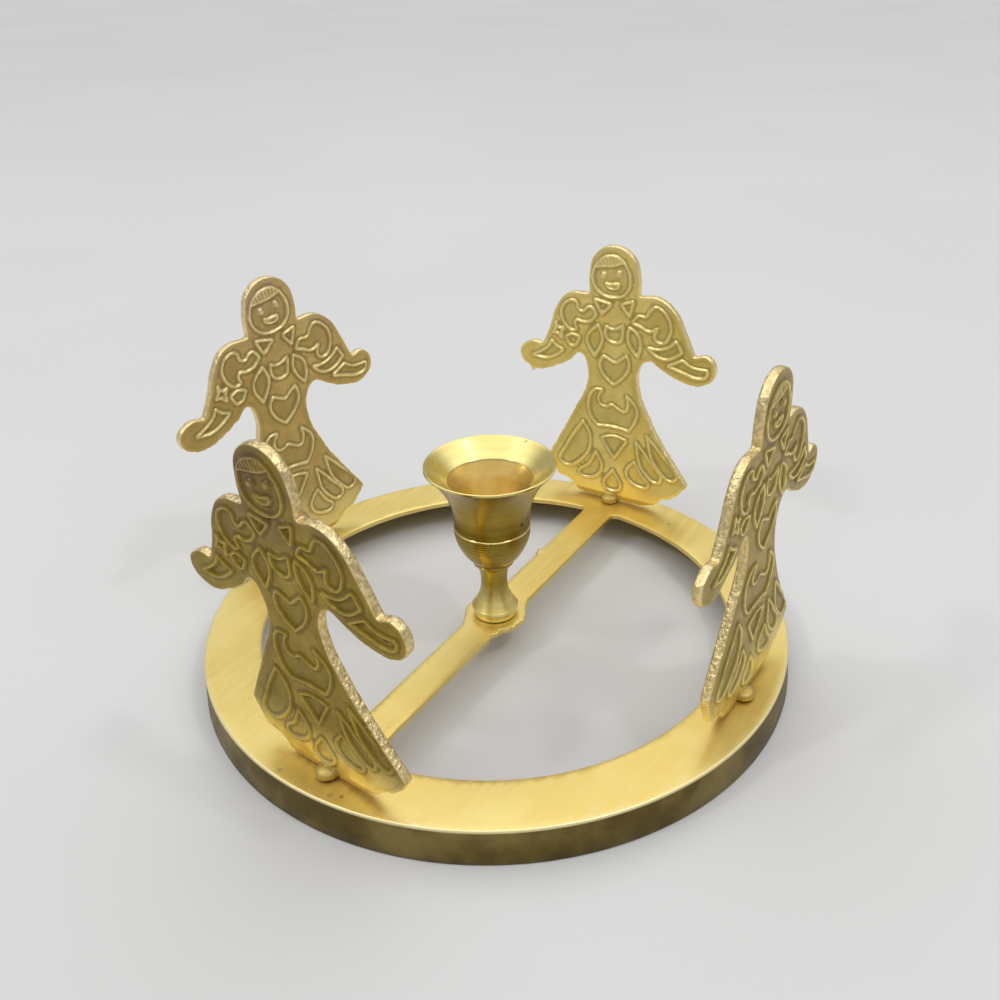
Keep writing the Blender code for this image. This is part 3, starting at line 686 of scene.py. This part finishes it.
def hole_burr(x, y):
    """How far a point on an opening's edge stands out: rough at the pad, wavy at the bar."""
    at_pad = clamped(1.0 - (math.hypot(x, y) - PAD_R - 1.0) / 3.0)
    burr = bumps(x, y, 0.0, (0.06, 16.0, 5.0))
    if abs(x) < BAR_HALF + 1.0:
        burr = bumps(x, y, 0.0, (0.12, 3.5, 3.0), level=burr)
    low_right = 1.0 + 1.2 * clamped((x - y - 4.0) / 10.0)
    burr -= 0.5 * low_right * at_pad * max(-0.3, bumps(x, y, 0.0, (1.0, 1.7, 2.0)))
    for place_x, place_y, height, reach in BURRS:
        burr -= height * math.exp(-(math.hypot(x - place_x, y - place_y) / reach) ** 2)
    return burr


def rim_rings(line, normals, ragged, top, bottom, rounding):
    """Rings of points down the edge of a hole, with its corners rounded."""
    rings = []
    depth = top - bottom
    middle = ROUND_MIDDLE * rounding
    levels = [(rounding, 0.0), (middle, middle), (0.0, rounding), (0.0, depth - rounding),
              (middle, depth - middle), (rounding, depth)]
    for back, down in levels:
        share = 1.0 - back / rounding * 0.7
        at = line + normals * (back - ragged * share)[:, None]
        rings.append(np.column_stack([at, np.full(len(at), top - down)]))
    return rings


def circle(radius, count, centre=(0.0, 0.0)):
    """Points round a circle, an equal angle apart."""
    angles = np.arange(count) * math.tau / count
    return np.array(centre) + radius * np.column_stack([np.cos(angles), np.sin(angles)])


def ring_section(outer_r, height, lip_r):
    """The ring's outer section, from the lip down the skirt and up inside it to the plate."""
    lip_z = height - LIP_ROUND
    under = height - RING_PLATE
    skirt_in = outer_r - SKIRT_THICK
    fillet_r = skirt_in - RING_DRAFT - SKIRT_FILLET
    section = [(lip_r + LIP_ROUND * math.sin(a), lip_z + LIP_ROUND * math.cos(a))
               for a in quarter(7)]
    section += [(outer_r - RING_DRAFT * (1.0 - s), lip_z * (1.0 - s)) for s in SKIRT_ROWS]
    section += [(outer_r - SKIRT_CHAMFER, 0.0), (skirt_in + 0.3, 0.0), (skirt_in, SKIRT_CHAMFER)]
    section += [(fillet_r + SKIRT_FILLET * math.cos(a), under - SKIRT_FILLET * (1.0 - math.sin(a)))
                for a in quarter(5)]
    return section


def make_ring():
    """The cast ring with its bar, open below, with holes for the screws."""
    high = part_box("ring_base")[1]
    outer_r = high.x / MM
    height = high.z / MM
    under = height - RING_PLATE
    lip_r = outer_r - RING_DRAFT - LIP_ROUND
    count = int(math.tau * outer_r / RING_STEP)
    outside = []
    for radius, z in ring_section(outer_r, height, lip_r):
        ring = circle(radius, count)
        out = [bumps(x, y, z, (0.05, 14.0, 2.0), (0.02, 3.0, 4.0)) for x, y in ring]
        ring *= 1.0 + np.array(out)[:, None] / radius
        outside.append(np.column_stack([ring, np.full(count, z)]))
    walls = [outside]
    for side in (1.0, -1.0):
        line = hole_beside_bar(outer_r - RING_WIDTH, side)
        burrs = np.array([hole_burr(x, y) for x, y in line])
        walls.append(rim_rings(line, outward(line), -burrs, height, under, BAR_EDGE))
    centres = [(joint["pos_m"][0] / MM, joint["pos_m"][1] / MM) for joint in frame["joints"]]
    for centre, radius in [(c, BOSS_HOLE_R) for c in centres] + [((0.0, 0.0), CUP_HOLE_R)]:
        line = circle(radius, SCREW_HOLE_SIDES, centre)
        walls.append(rim_rings(line, outward(line), np.zeros(SCREW_HOLE_SIDES), height, under,
                               SCREW_HOLE_EDGE))
    faces = []
    for ring_index, level, rise in ((0, height, 0.035), (-1, under, 0.08)):
        edges = [wall[ring_index][:, :2] for wall in walls]
        flat = grid(edges[0], RING_FACE_STEP)
        for hole in edges[1:]:
            flat = flat[~inside(flat, hole)]
        flat = clear_of(flat, edges, RING_GAP)
        wave = [bumps(x, y, 0.0, (rise, 11.0, 6.0)) for x, y in flat]
        faces.append(np.column_stack([flat, level + np.array(wave)]))
    mesh = casting("cast_ring", walls, faces[0], faces[1], (0, 1))
    radius = np.array([math.hypot(v.co.x, v.co.y) for v in mesh.vertices]) / MM
    heights = np.array([v.co.z for v in mesh.vertices]) / MM
    # Mask for the skirt's wall, which gets patina and painted shade.
    wall = np.clip((height - 0.3 - heights) / LIP_ROUND, 0.0, 1.0) * (radius > outer_r - 4.0)
    add_mask(mesh, "wall", wall)
    # Mask for a painted highlight along the rounded lip.
    slope = np.abs(radius - lip_r - LIP_BAND * LIP_ROUND) / (LIP_BAND * LIP_ROUND)
    add_mask(mesh, "lip", np.clip(1.2 - slope, 0.0, 1.0) * (heights > height - 1.1 * LIP_ROUND))
    mesh.materials.append(ring_brass())
    place_piece("cast_ring_base", mesh, "base", "ring_base", (0.0, 0.0, 0.0))


def swept(low, high, power, steps):
    """Points from one (radius, height) to another; the radius changes by a power of the rise."""
    shares = [step / steps for step in range(steps + 1)]
    return [(low[0] + (high[0] - low[0]) * s ** power, low[1] + (high[1] - low[1]) * s)
            for s in shares]


def at_line(z, heights, half):
    """1 on one of the heights, and down to 0 beside it."""
    return max(math.exp(-((z - at) / half) ** 2) for at in heights)


def grooved(points, heights, depth, half):
    """A profile with fine turned grooves cut at the given heights."""
    return [(r - depth * at_line(z, heights, half), z) for r, z in points]


def cup_profile():
    """The cup's section from the bore's floor over the rim to the screw hole, with its masks."""
    bowl_r = BORE_FLOOR[0] + BOWL_WALL
    floor_r, floor_z = BORE_FLOOR
    mouth_r, mouth_z = BORE_MOUTH
    bore = [(0.0, floor_z), (0.5 * floor_r, floor_z), (floor_r - 0.5, floor_z)]
    bore += swept((floor_r, floor_z + 0.5), (mouth_r, mouth_z), 2.5, 22)
    cone_top = (CUP_RIM_R - CUP_LIP, CUP_HEIGHT - 0.12)
    flare = [(mouth_r + 0.12, mouth_z + 0.16)]
    flare += swept((mouth_r + 0.45, mouth_z + 0.36), cone_top, 0.95, 10)
    lip = [(CUP_RIM_R - 0.45, CUP_HEIGHT), (CUP_RIM_R - 0.15, CUP_HEIGHT - 0.1),
           (CUP_RIM_R, CUP_HEIGHT - 0.35)]
    outer = swept((bowl_r, FLARE_FOOT_Z), (CUP_RIM_R, CUP_HEIGHT - CUP_LIP), 2.3, 34)[::-1]
    outer += [(bowl_r, GROOVE_Z + 0.42), (bowl_r - 0.1, GROOVE_Z + 0.34),
              (bowl_r - 0.34, GROOVE_Z + 0.12), (bowl_r - 0.34, GROOVE_Z - 0.1),
              (bowl_r + 0.02, GROOVE_Z - 0.36)]
    bowl = swept((bowl_r + 0.06, GROOVE_Z - 0.5), BOWL_BOTTOM, 2.2, 130)
    outer += grooved(bowl, TURNED_LINES, TURNED_DEPTH, TURNED_HALF)
    ring_r, ring_z = BOWL_BOTTOM[0] + 0.15, BOWL_BOTTOM[1]
    outer += [(ring_r - 0.2, ring_z - 0.1), (ring_r, ring_z - 0.3), (ring_r, ring_z - 0.6),
              (ring_r - 0.3, ring_z - 0.85)]
    outer += swept(NECK, (NECK_TOP_R, ring_z - 1.0), 2.8, 16)[::-1]
    cone = swept(NECK, CONE, 2.1, 60)[1:]
    outer += grooved(cone, CONE_LINES, 0.045, 0.1)
    outer += [(CONE[0], CONE[1] - 0.7), (CONE[0] - 0.35, CONE[1] - 1.05), (6.35, 2.1),
              (6.3, 1.95), (6.7, CUP_BASE_HEIGHT), (CUP_BASE_R, CUP_BASE_HEIGHT - 0.2),
              (CUP_BASE_R, 0.15), (CUP_BASE_R - 0.15, 0.0), (CUP_HOLE_R, 0.0),
              (CUP_HOLE_R, CUP_SCREW_TOP), (0.0, CUP_SCREW_TOP)]
    profile = bore + flare + lip + outer
    heights = [z for _, z in profile]
    order = np.arange(len(profile))
    is_outer = order >= len(profile) - len(outer)
    masks = {
        "bore": order < len(bore),
        "foot": is_outer * [clamped((17.0 - z) / 9.0) for z in heights],
        # Where the outer wall's tarnish and painted shade go.
        "outside": is_outer * [clamped((z - 6.5) / 6.0) for z in heights],
        # Painted shade in the fine turned grooves.
        "groove": is_outer * [at_line(z, TURNED_LINES, TURNED_HALF) for z in heights],
        # Where painted highlights go: the lower edge of the groove and the cone's lip.
        "edge": is_outer & [abs(z - GROOVE_Z + 0.4) < 0.15 or abs(z - CONE[1] + 0.35) < 0.4
                            for z in heights],
    }
    # Painted shade as a dark line at the bore's mouth.
    masks["groove"][len(bore) - 1] = 0.8
    return profile, masks


def make_cup():
    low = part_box("candle_cup")[0]
    profile, masks = cup_profile()
    mesh = turned_mesh("turned_cup", profile, CUP_TURNS)
    mesh.set_sharp_from_angle(angle=math.radians(40.0))
    counts = [1 if radius < 1e-6 else CUP_TURNS for radius, _ in profile]
    for name, shares in masks.items():
        add_mask(mesh, name, np.repeat(shares, counts))
    mesh.materials.append(cup_brass())
    place_piece("turned_candle_cup", mesh, "base", "candle_cup", (0.0, 0.0, low.z))


def screw_mesh(node, shank_r):
    """A slotted round-head screw with its head down, measured from its node's box."""
    head_r, head_height = (shank_r * share for share in SCREW_HEAD)
    low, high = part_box(node)
    length = (high.z - low.z) / MM
    z = length - SCREW_CHAMFER
    profile = [(0.0, length), (shank_r - SCREW_CHAMFER, length), (shank_r, z)]
    while z - THREAD_PITCH > head_height + THREAD_FREE:
        profile += [(shank_r, z - 0.25 * THREAD_PITCH),
                    (shank_r - THREAD_DEPTH, z - 0.5 * THREAD_PITCH),
                    (shank_r, z - 0.75 * THREAD_PITCH)]
        z -= THREAD_PITCH
    rim = head_height * HEAD_RIM
    dome = head_height - rim
    profile += [(shank_r, head_height), (head_r - HEAD_EDGE, head_height),
                (head_r, head_height - HEAD_EDGE)]
    profile += [(head_r - dome * (1.0 - math.cos(a)), head_height - rim - dome * math.sin(a))
                for a in quarter(7)]
    profile.append((0.0, 0.0))
    mesh = turned_mesh(node, profile, SMALL_TURNS)
    size = [share * part * MM for share, part in zip(SLOT_SHARES, (head_r, head_r, head_height))]
    slot = bmesh_of("slot", bmesh.ops.create_cube, size=1.0, matrix=Matrix.Diagonal((*size, 1.0)))
    mesh = combined(mesh, slot, "DIFFERENCE")
    mesh.set_sharp_from_angle(angle=math.radians(35.0))
    centre = (low + high) / 2
    return mesh, (centre.x, centre.y, low.z)


def make_screws():
    brass = screw_brass()
    screws = [("angel_screw_" + name, name + "_angel", 1.25) for name in ANGELS]
    for node, body, shank_r in screws + [("cup_screw", "base", 2.5)]:
        mesh, place = screw_mesh(node, shank_r)
        mesh.materials.append(brass)
        place_piece("round_head_" + node, mesh, body, node, place)


class Nodes:
    """Adds shader nodes to a tree. An input is a number, a colour or a socket to link."""

    def __init__(self, tree):
        self.tree = tree

    def put(self, socket, value):
        if isinstance(value, bpy.types.NodeSocket):
            self.tree.links.new(value, socket)
        else:
            socket.default_value = value

    def add(self, kind, settings=None, **inputs):
        """A node with its settings and inputs; an input is named, or i0, i1 by its number."""
        made = self.tree.nodes.new("ShaderNode" + kind)
        for name, value in (settings or {}).items():
            setattr(made, name, value)
        for name, value in inputs.items():
            self.put(made.inputs[int(name[1:]) if name[1:].isdigit() else name], value)
        return made

    def places(self, stretch=(1.0, 1.0, 1.0), turn=(0.0, 0.0, 0.0)):
        """Object coordinates, turned and stretched."""
        at = self.add("TexCoord").outputs["Object"]
        return self.add("Mapping", Vector=at, Scale=stretch, Rotation=turn).outputs[0]

    def spread(self, value, low, high, to_low=0.0, to_high=1.0):
        """A smooth step between two levels of a value."""
        return self.add("MapRange", {"interpolation_type": "SMOOTHSTEP"}, i0=value, i1=low,
                        i2=high, i3=to_low, i4=to_high).outputs[0]

    def between(self, share, to_low, to_high):
        return self.spread(share, 0.0, 1.0, to_low, to_high)

    def maths(self, operation, first, second=0.0):
        return self.add("Math", {"operation": operation, "use_clamp": True}, i0=first,
                        i1=second).outputs[0]

    def times(self, first, second):
        return self.maths("MULTIPLY", first, second)


class Paint(Nodes):
    """A new material, with the colour and the bumps made so far."""

    def __init__(self, name):
        self.material = bpy.data.materials.new(name)
        self.material.use_nodes = True
        super().__init__(self.material.node_tree)
        self.inputs = self.tree.nodes["Principled BSDF"].inputs
        self.at = self.places()
        self.normal = None

    def mask(self, name):
        return self.add("Attribute", {"attribute_name": name}).outputs["Fac"]

    def cloud(self, scale, detail=3.0, low=0.3, high=0.7, at=None):
        """Noise: waves per metre, detail, and the two levels that are spread from 0 to 1."""
        made = self.add("TexNoise", Vector=at or self.at, Scale=scale, Detail=detail,
                        Roughness=0.55)
        return self.spread(made.outputs["Fac"], low, high)

    def near(self, place, reach, height):
        """1 at a place and a height in millimetres, down to 0 at the given reach."""
        away = self.add("VectorMath", {"operation": "DISTANCE"}, i0=self.at,
                        i1=(place[0] * MM, place[1] * MM, height * MM))
        return self.spread(away.outputs["Value"], reach * MM, 0.25 * reach * MM)

    def mix(self, share, first, second):
        ends = [end if isinstance(end, bpy.types.NodeSocket) else (*end, 1.0)
                for end in (first, second)]
        return self.add("Mix", {"data_type": "RGBA"}, i0=share, i6=ends[0], i7=ends[1]).outputs[2]

    def tint(self, share, tone, amount=None):
        """Lays a tone over the colour so far, by a share and an amount."""
        if amount is not None:
            share = self.times(share, amount)
        self.colour = self.mix(share, self.colour, tone)

    def bump(self, height, strength, distance):
        """Adds bumps of so many metres to the surface."""
        made = self.add("Bump", Height=height, Strength=strength, Distance=distance)
        if self.normal is not None:
            self.put(made.inputs["Normal"], self.normal)
        self.normal = made.outputs[0]

    def set(self, values):
        for name, value in values.items():
            self.put(self.inputs[name], value)

    def brass(self, rough):
        """Finishes the material as bare metal of the given roughness."""
        self.set({"Base Color": self.colour, "Metallic": 1.0, "Roughness": rough})
        if self.normal is not None:
            self.set({"Normal": self.normal})
        return self.material


# Each angel's brass: ground, darker patches, worn lines, tarnish on the hood and its amount, and
# the shine of the worn lines. The tones are lighter on some angels and darker on others as painted
# light and shade: darkest on the front angel, lightest on the back one. Then what all four share:
# the edge, the painted reflection of the ring on the hem, and the foot.
ANGEL_TONES_LIT_AND_SHADED = {
    "front": ((0.39, 0.28, 0.042), (0.28, 0.19, 0.027), (0.66, 0.50, 0.14), (0.17, 0.11, 0.085),
              0.85, 0.5),
    "right": ((0.52, 0.39, 0.10), (0.38, 0.27, 0.07), (0.92, 0.78, 0.34), (0.46, 0.36, 0.20),
              0.4, 0.9),
    "back": ((0.96, 0.81, 0.31), (0.83, 0.66, 0.20), (1.0, 0.91, 0.50), (0.78, 0.62, 0.34),
             0.5, 0.85),
    "left": ((0.78, 0.60, 0.24), (0.62, 0.46, 0.17), (1.0, 0.92, 0.52), (0.64, 0.47, 0.32),
             0.85, 1.0),
}
SIDE_TONE = (0.92, 0.76, 0.42)
# Painted reflection of the ring: a warm light tone laid on the hem.
HEM_REFLECTION_TONE = (1.0, 0.84, 0.34)
FOOT_TONE = (0.52, 0.37, 0.11)


def cast_brass(name, ground, dark, worn, tarnish, amount, shine):
    """Aged cast brass: patina and painted shade in the hollows, a painted shadow along the face's
    edge, worn raised lines and edges, tarnish from the head down and a painted reflection of the
    ring on the hem.
    """
    paint = Paint(name)
    fine = paint.cloud(900.0, 4.0)
    paint.colour = paint.mix(paint.cloud(110.0, 5.0), ground, dark)
    height = paint.add("SeparateXYZ", Vector=paint.at).outputs[2]
    tinted_patch = paint.times(paint.cloud(60.0, 3.0, 0.35, 0.62), paint.spread(height, 0.06, 0.1))
    paint.tint(tinted_patch, tarnish, amount)
    # Painted reflection of the ring: a warm light tone on the lower part of the angel, fading
    # upwards.
    painted_ring_reflection = paint.times(paint.spread(height, 0.022, 0.003), paint.cloud(80.0, 2.0, 0.2, 0.6))
    paint.tint(painted_ring_reflection, HEM_REFLECTION_TONE, 0.85)
    # Patina and painted shade in the dips beside the lines and in the sunk fields, and a painted
    # shadow along the face's edge.
    paint.tint(paint.mask("patina_and_shade"), [0.45 * part for part in dark], 0.7)
    crest = paint.spread(paint.mask("crest"), 0.5, 1.0)
    paint.tint(paint.times(crest, paint.spread(fine, 0.0, 0.5, 0.6 * shine, shine)), worn)
    rim = paint.spread(paint.mask("rim"), 0.1, 0.8)
    paint.tint(paint.times(rim, paint.spread(fine, 0.1, 0.9, 0.5, 0.95)), SIDE_TONE)
    foot = paint.spread(height, 0.0036, 0.0026)
    paint.tint(foot, FOOT_TONE, 0.8)
    paint.bump(paint.cloud(700.0, 2.0, 0.25, 0.6), 0.35, 0.00012)
    paint.bump(paint.cloud(2600.0, 3.0, 0.2, 0.8), 0.30, 0.00006)
    pebbles = paint.times(paint.cloud(700.0, 2.0), rim)
    pebbles = paint.times(pebbles, paint.spread(height, 0.065, 0.035, 0.35, 1.0))
    paint.bump(pebbles, 0.7, 0.0004)
    rough = paint.between(fine, 0.34, 0.48)
    return paint.brass(paint.maths("ADD", rough, paint.times(foot, 0.12)))


# Brass of the ring: its top, darker patches and rubbed streaks, the wall's patina and painted
# shade, specks and the lip's painted highlight.
RING_TOP, RING_DARK, RING_RUBBED = (0.86, 0.70, 0.265), (0.80, 0.61, 0.19), (0.92, 0.78, 0.34)
WALL_PATINA_AND_SHADE, WALL_PATINA_AND_SHADE_DARK = (0.165, 0.118, 0.033), (0.12, 0.082, 0.023)
RING_SPECK, LIP_HIGHLIGHT_TONE = (0.16, 0.11, 0.05), (0.95, 0.84, 0.48)
# Rubbing marks and scratches: waves per metre along each axis, and their direction.
BRUSH_STRETCH = (450.0, 36.0, 200.0)
SCRATCH_STRETCH = (4200.0, 260.0, 1200.0)
BRUSH_TURN = (0.0, 0.0, math.radians(38.0))
# Marks on the ring's top, and painted light and shade among them: place in millimetres, reach, tint
# and strength.
RING_MARKS_AND_PAINTED_LIGHT = [
    # Painted reflection of the front angel in the ring's top.
    ((-4.0, -88.0), 16.0, (0.88, 0.62, 0.18), 0.30),
    # Painted glints: pale spots on the burr at the bar's edge and near the front of the ring.
    ((-5.7, 39.5), 1.8, (1.0, 0.95, 0.70), 0.90),
    ((31.1, -89.2), 1.9, (1.0, 0.96, 0.75), 0.90),
    ((5.5, -91.2), 1.2, (0.35, 0.24, 0.12), 0.80),
    ((8.5, -90.2), 0.9, (0.35, 0.24, 0.12), 0.80),
    # Orange patches round the back and right angels' feet.
    ((0.0, 76.0), 30.0, (0.90, 0.60, 0.15), 0.48),
    ((84.0, 0.0), 12.0, (0.80, 0.52, 0.15), 0.36),
    # Painted shadow under the right angel's hem, beside its foot.
    ((86.2, 3.3), 4.0, (0.22, 0.13, 0.07), 0.36),
    # Rust stain and painted shade round the front angel's foot.
    ((0.7, -86.4), 4.4, (0.25, 0.15, 0.06), 0.60),
    ((-12.5, -91.0), 1.3, (0.40, 0.33, 0.20), 0.60),
]


def ring_brass():
    """Satin brass on the top, with faint oblique rubbing marks, stains, pits, spots of painted
    light and shade, patina and painted shade down the skirt, and a painted highlight along the lip.
    """
    paint = Paint("ring_brass")
    brushed = paint.cloud(1.0, 4.0, at=paint.places(BRUSH_STRETCH, BRUSH_TURN))
    patches = paint.cloud(38.0, 5.0, 0.35, 0.65)
    paint.colour = paint.mix(patches, RING_TOP, RING_DARK)
    paint.tint(brushed, RING_RUBBED, 0.4)
    # Each entry tints a patch of the top: stains, pits, a painted reflection, painted glints and
    # painted shade.
    for place, reach, tint, share in RING_MARKS_AND_PAINTED_LIGHT:
        tinted_patch = paint.times(paint.near(place, reach, 11.5), paint.cloud(150.0, 5.0, 0.3, 0.6))
        paint.tint(tinted_patch, tint, share)
    # Patina and painted shade: the skirt's wall is made much darker than the top.
    wall = paint.times(paint.mask("wall"), paint.between(patches, 0.82, 1.0))
    paint.tint(wall, paint.mix(paint.cloud(95.0, 4.0), WALL_PATINA_AND_SHADE, WALL_PATINA_AND_SHADE_DARK))
    paint.colour = paint.mix(paint.cloud(420.0, 2.0, 0.20, 0.25), RING_SPECK, paint.colour)
    # Painted highlight: a pale band along the lip.
    paint.tint(paint.mask("lip"), LIP_HIGHLIGHT_TONE)
    paint.bump(brushed, 0.10, 0.00005)
    paint.bump(paint.cloud(1.0, at=paint.places(SCRATCH_STRETCH, BRUSH_TURN)), 0.12, 0.00003)
    paint.bump(paint.cloud(1500.0), 0.10, 0.00003)
    return paint.brass(paint.between(brushed, 0.43, 0.50))


# Brass of the cup: flare, outer wall with tarnish and painted shade, and bore, each with its darker
# patches, then the details, with painted shade in the grooves and painted highlights on edges.
FLARE_TONE, FLARE_DARK = (0.97, 0.84, 0.35), (0.93, 0.78, 0.29)
OUTER_TARNISH_AND_SHADE, OUTER_TARNISH_AND_SHADE_DARK = (0.40, 0.285, 0.038), (0.30, 0.205, 0.026)
BORE_TONE, BORE_DARK = (0.98, 0.86, 0.52), (0.90, 0.74, 0.36)
BAND_TONE, EDGE_HIGHLIGHT_TONE = (0.62, 0.44, 0.13), (0.98, 0.83, 0.38)
CUP_SPECK, PIT_TONE, GROOVE_SHADE_TONE = (0.13, 0.08, 0.03), (0.05, 0.03, 0.015), (0.16, 0.10, 0.03)
# Two small dark pits on the cup's wall: place, reach and height in millimetres.
CUP_PITS = [((12.05, -1.7), 1.0, 37.4), ((12.15, 1.3), 0.7, 38.1)]


def cup_brass():
    """Polished turned brass, with turning lines that run round it, a stained bore, tarnish and
    painted shade on the outer wall, painted shade in the grooves and painted highlights on two
    edges.
    """
    paint = Paint("cup_brass")
    parts = paint.add("SeparateXYZ", Vector=paint.at).outputs
    radius = paint.maths("ADD", *(paint.times(part, part) for part in parts[:2]))
    radius = paint.maths("SQRT", radius)
    along = paint.add("CombineXYZ", X=radius, Z=parts[2]).outputs[0]
    patches = paint.cloud(70.0, 4.0, 0.35, 0.65)
    paint.colour = paint.mix(patches, FLARE_TONE, FLARE_DARK)
    # Tarnish and painted shade: the outer wall of the flare, bowl and neck much darker than the
    # flare's inside.
    paint.tint(paint.mask("outside"), paint.mix(patches, OUTER_TARNISH_AND_SHADE, OUTER_TARNISH_AND_SHADE_DARK))
    bore = paint.mask("bore")
    paint.tint(bore, paint.mix(paint.cloud(170.0, 5.0, 0.3, 0.65), BORE_TONE, BORE_DARK))
    paint.tint(paint.cloud(700.0, 2.0, at=along), BAND_TONE, 0.25)
    paint.colour = paint.mix(paint.cloud(380.0, 3.0, 0.22, 0.29), CUP_SPECK, paint.colour)
    for pit in CUP_PITS:
        paint.tint(paint.near(*pit), PIT_TONE)
    # Painted shade in the turned grooves and at the bore's mouth.
    paint.tint(paint.mask("groove"), GROOVE_SHADE_TONE, 0.6)
    # Painted highlights along the groove's lower edge and the cone's lip.
    paint.tint(paint.times(paint.mask("edge"), paint.cloud(800.0, 2.0, 0.2, 0.5)), EDGE_HIGHLIGHT_TONE)
    paint.bump(paint.cloud(4200.0, 2.0, 0.25, 0.75, at=along), 0.10, 0.00003)
    round_z = paint.add("Tangent", {"direction_type": "RADIAL", "axis": "Z"}).outputs[0]
    paint.set({"Anisotropic": 0.6, "Anisotropic Rotation": 0.25, "Tangent": round_z})
    duller = paint.times(paint.maths("ADD", bore, paint.mask("foot")), 0.16)
    return paint.brass(paint.maths("ADD", paint.between(patches, 0.17, 0.24), duller))


def screw_brass():
    paint = Paint("screw_brass")
    paint.colour = paint.mix(paint.cloud(500.0, 4.0), (0.50, 0.38, 0.16), (0.30, 0.21, 0.09))
    return paint.brass(paint.between(paint.cloud(1500.0), 0.3, 0.5))


# Camera, solved from the photo's circles: place in metres; heading, tilt below level and roll.
CAMERA_PLACE = (0.1508, -0.2301, 0.2093)
CAMERA_TURNS = ((32.66, "Z"), (90.0 - 29.47, "X"), (-1.97, "Z"))


def make_camera():
    data = bpy.data.cameras.new("camera")
    data.lens = 36.56
    data.clip_start = 0.01
    camera = new_object("camera", data)
    turn = Matrix()
    for angle, axis in CAMERA_TURNS:
        turn @= Matrix.Rotation(math.radians(angle), 4, axis)
    camera.matrix_world = Matrix.Translation(CAMERA_PLACE) @ turn
    bpy.context.scene.camera = camera


def make_floor():
    mesh = bmesh_of("floor", bmesh.ops.create_circle, cap_ends=True, segments=64, radius=9.0)
    paint = Paint("floor_paper")
    colour = paint.mix(paint.cloud(3.0, 2.0), [0.66] * 3, [0.64] * 3)
    paint.set({"Base Color": colour, "Roughness": 0.8, "Specular IOR Level": 0.2})
    mesh.materials.append(paint.material)
    new_object("floor", mesh)


# Area lights: place, size and power, all aimed at one point. The sky: two levels of its upward
# direction, and how bright it is at them.
LIGHTS = [
    ("left", (-0.62, -0.78, 1.15), (0.13, 0.13), 2.2),
    ("right", (0.72, 0.05, 1.2), (0.11, 0.11), 1.7),
    ("behind", (-0.45, 0.75, 1.1), (0.8, 0.6), 0.7),
]
LIGHT_AIM = Vector((0.0, 0.0, 0.04))
SKY = (0.43, 0.80, 0.42, 1.27)


def make_lights():
    for name, place, size, power in LIGHTS:
        data = bpy.data.lights.new(name, "AREA")
        data.shape = "RECTANGLE"
        data.size, data.size_y = size
        data.energy = power
        lamp = new_object(name, data)
        lamp.location = place
        lamp.rotation_euler = (LIGHT_AIM - Vector(place)).to_track_quat("-Z", "Y").to_euler()
    world = bpy.data.worlds.new("studio")
    bpy.context.scene.world = world
    world.use_nodes = True
    sky = Nodes(world.node_tree)
    at = sky.add("TexCoord").outputs["Generated"]
    up = sky.add("SeparateXYZ", Vector=at).outputs[2]
    sky.put(sky.tree.nodes["Background"].inputs["Color"], sky.spread(up, *SKY))


def write_sizes():
    def plain(box):
        return [[round(float(number), 5) for number in corner] for corner in box]


bpy.context.scene.view_settings.view_transform = "Standard"
make_ring()
make_cup()
make_screws()
make_angels()
make_floor()
make_lights()
make_camera()
write_sizes()
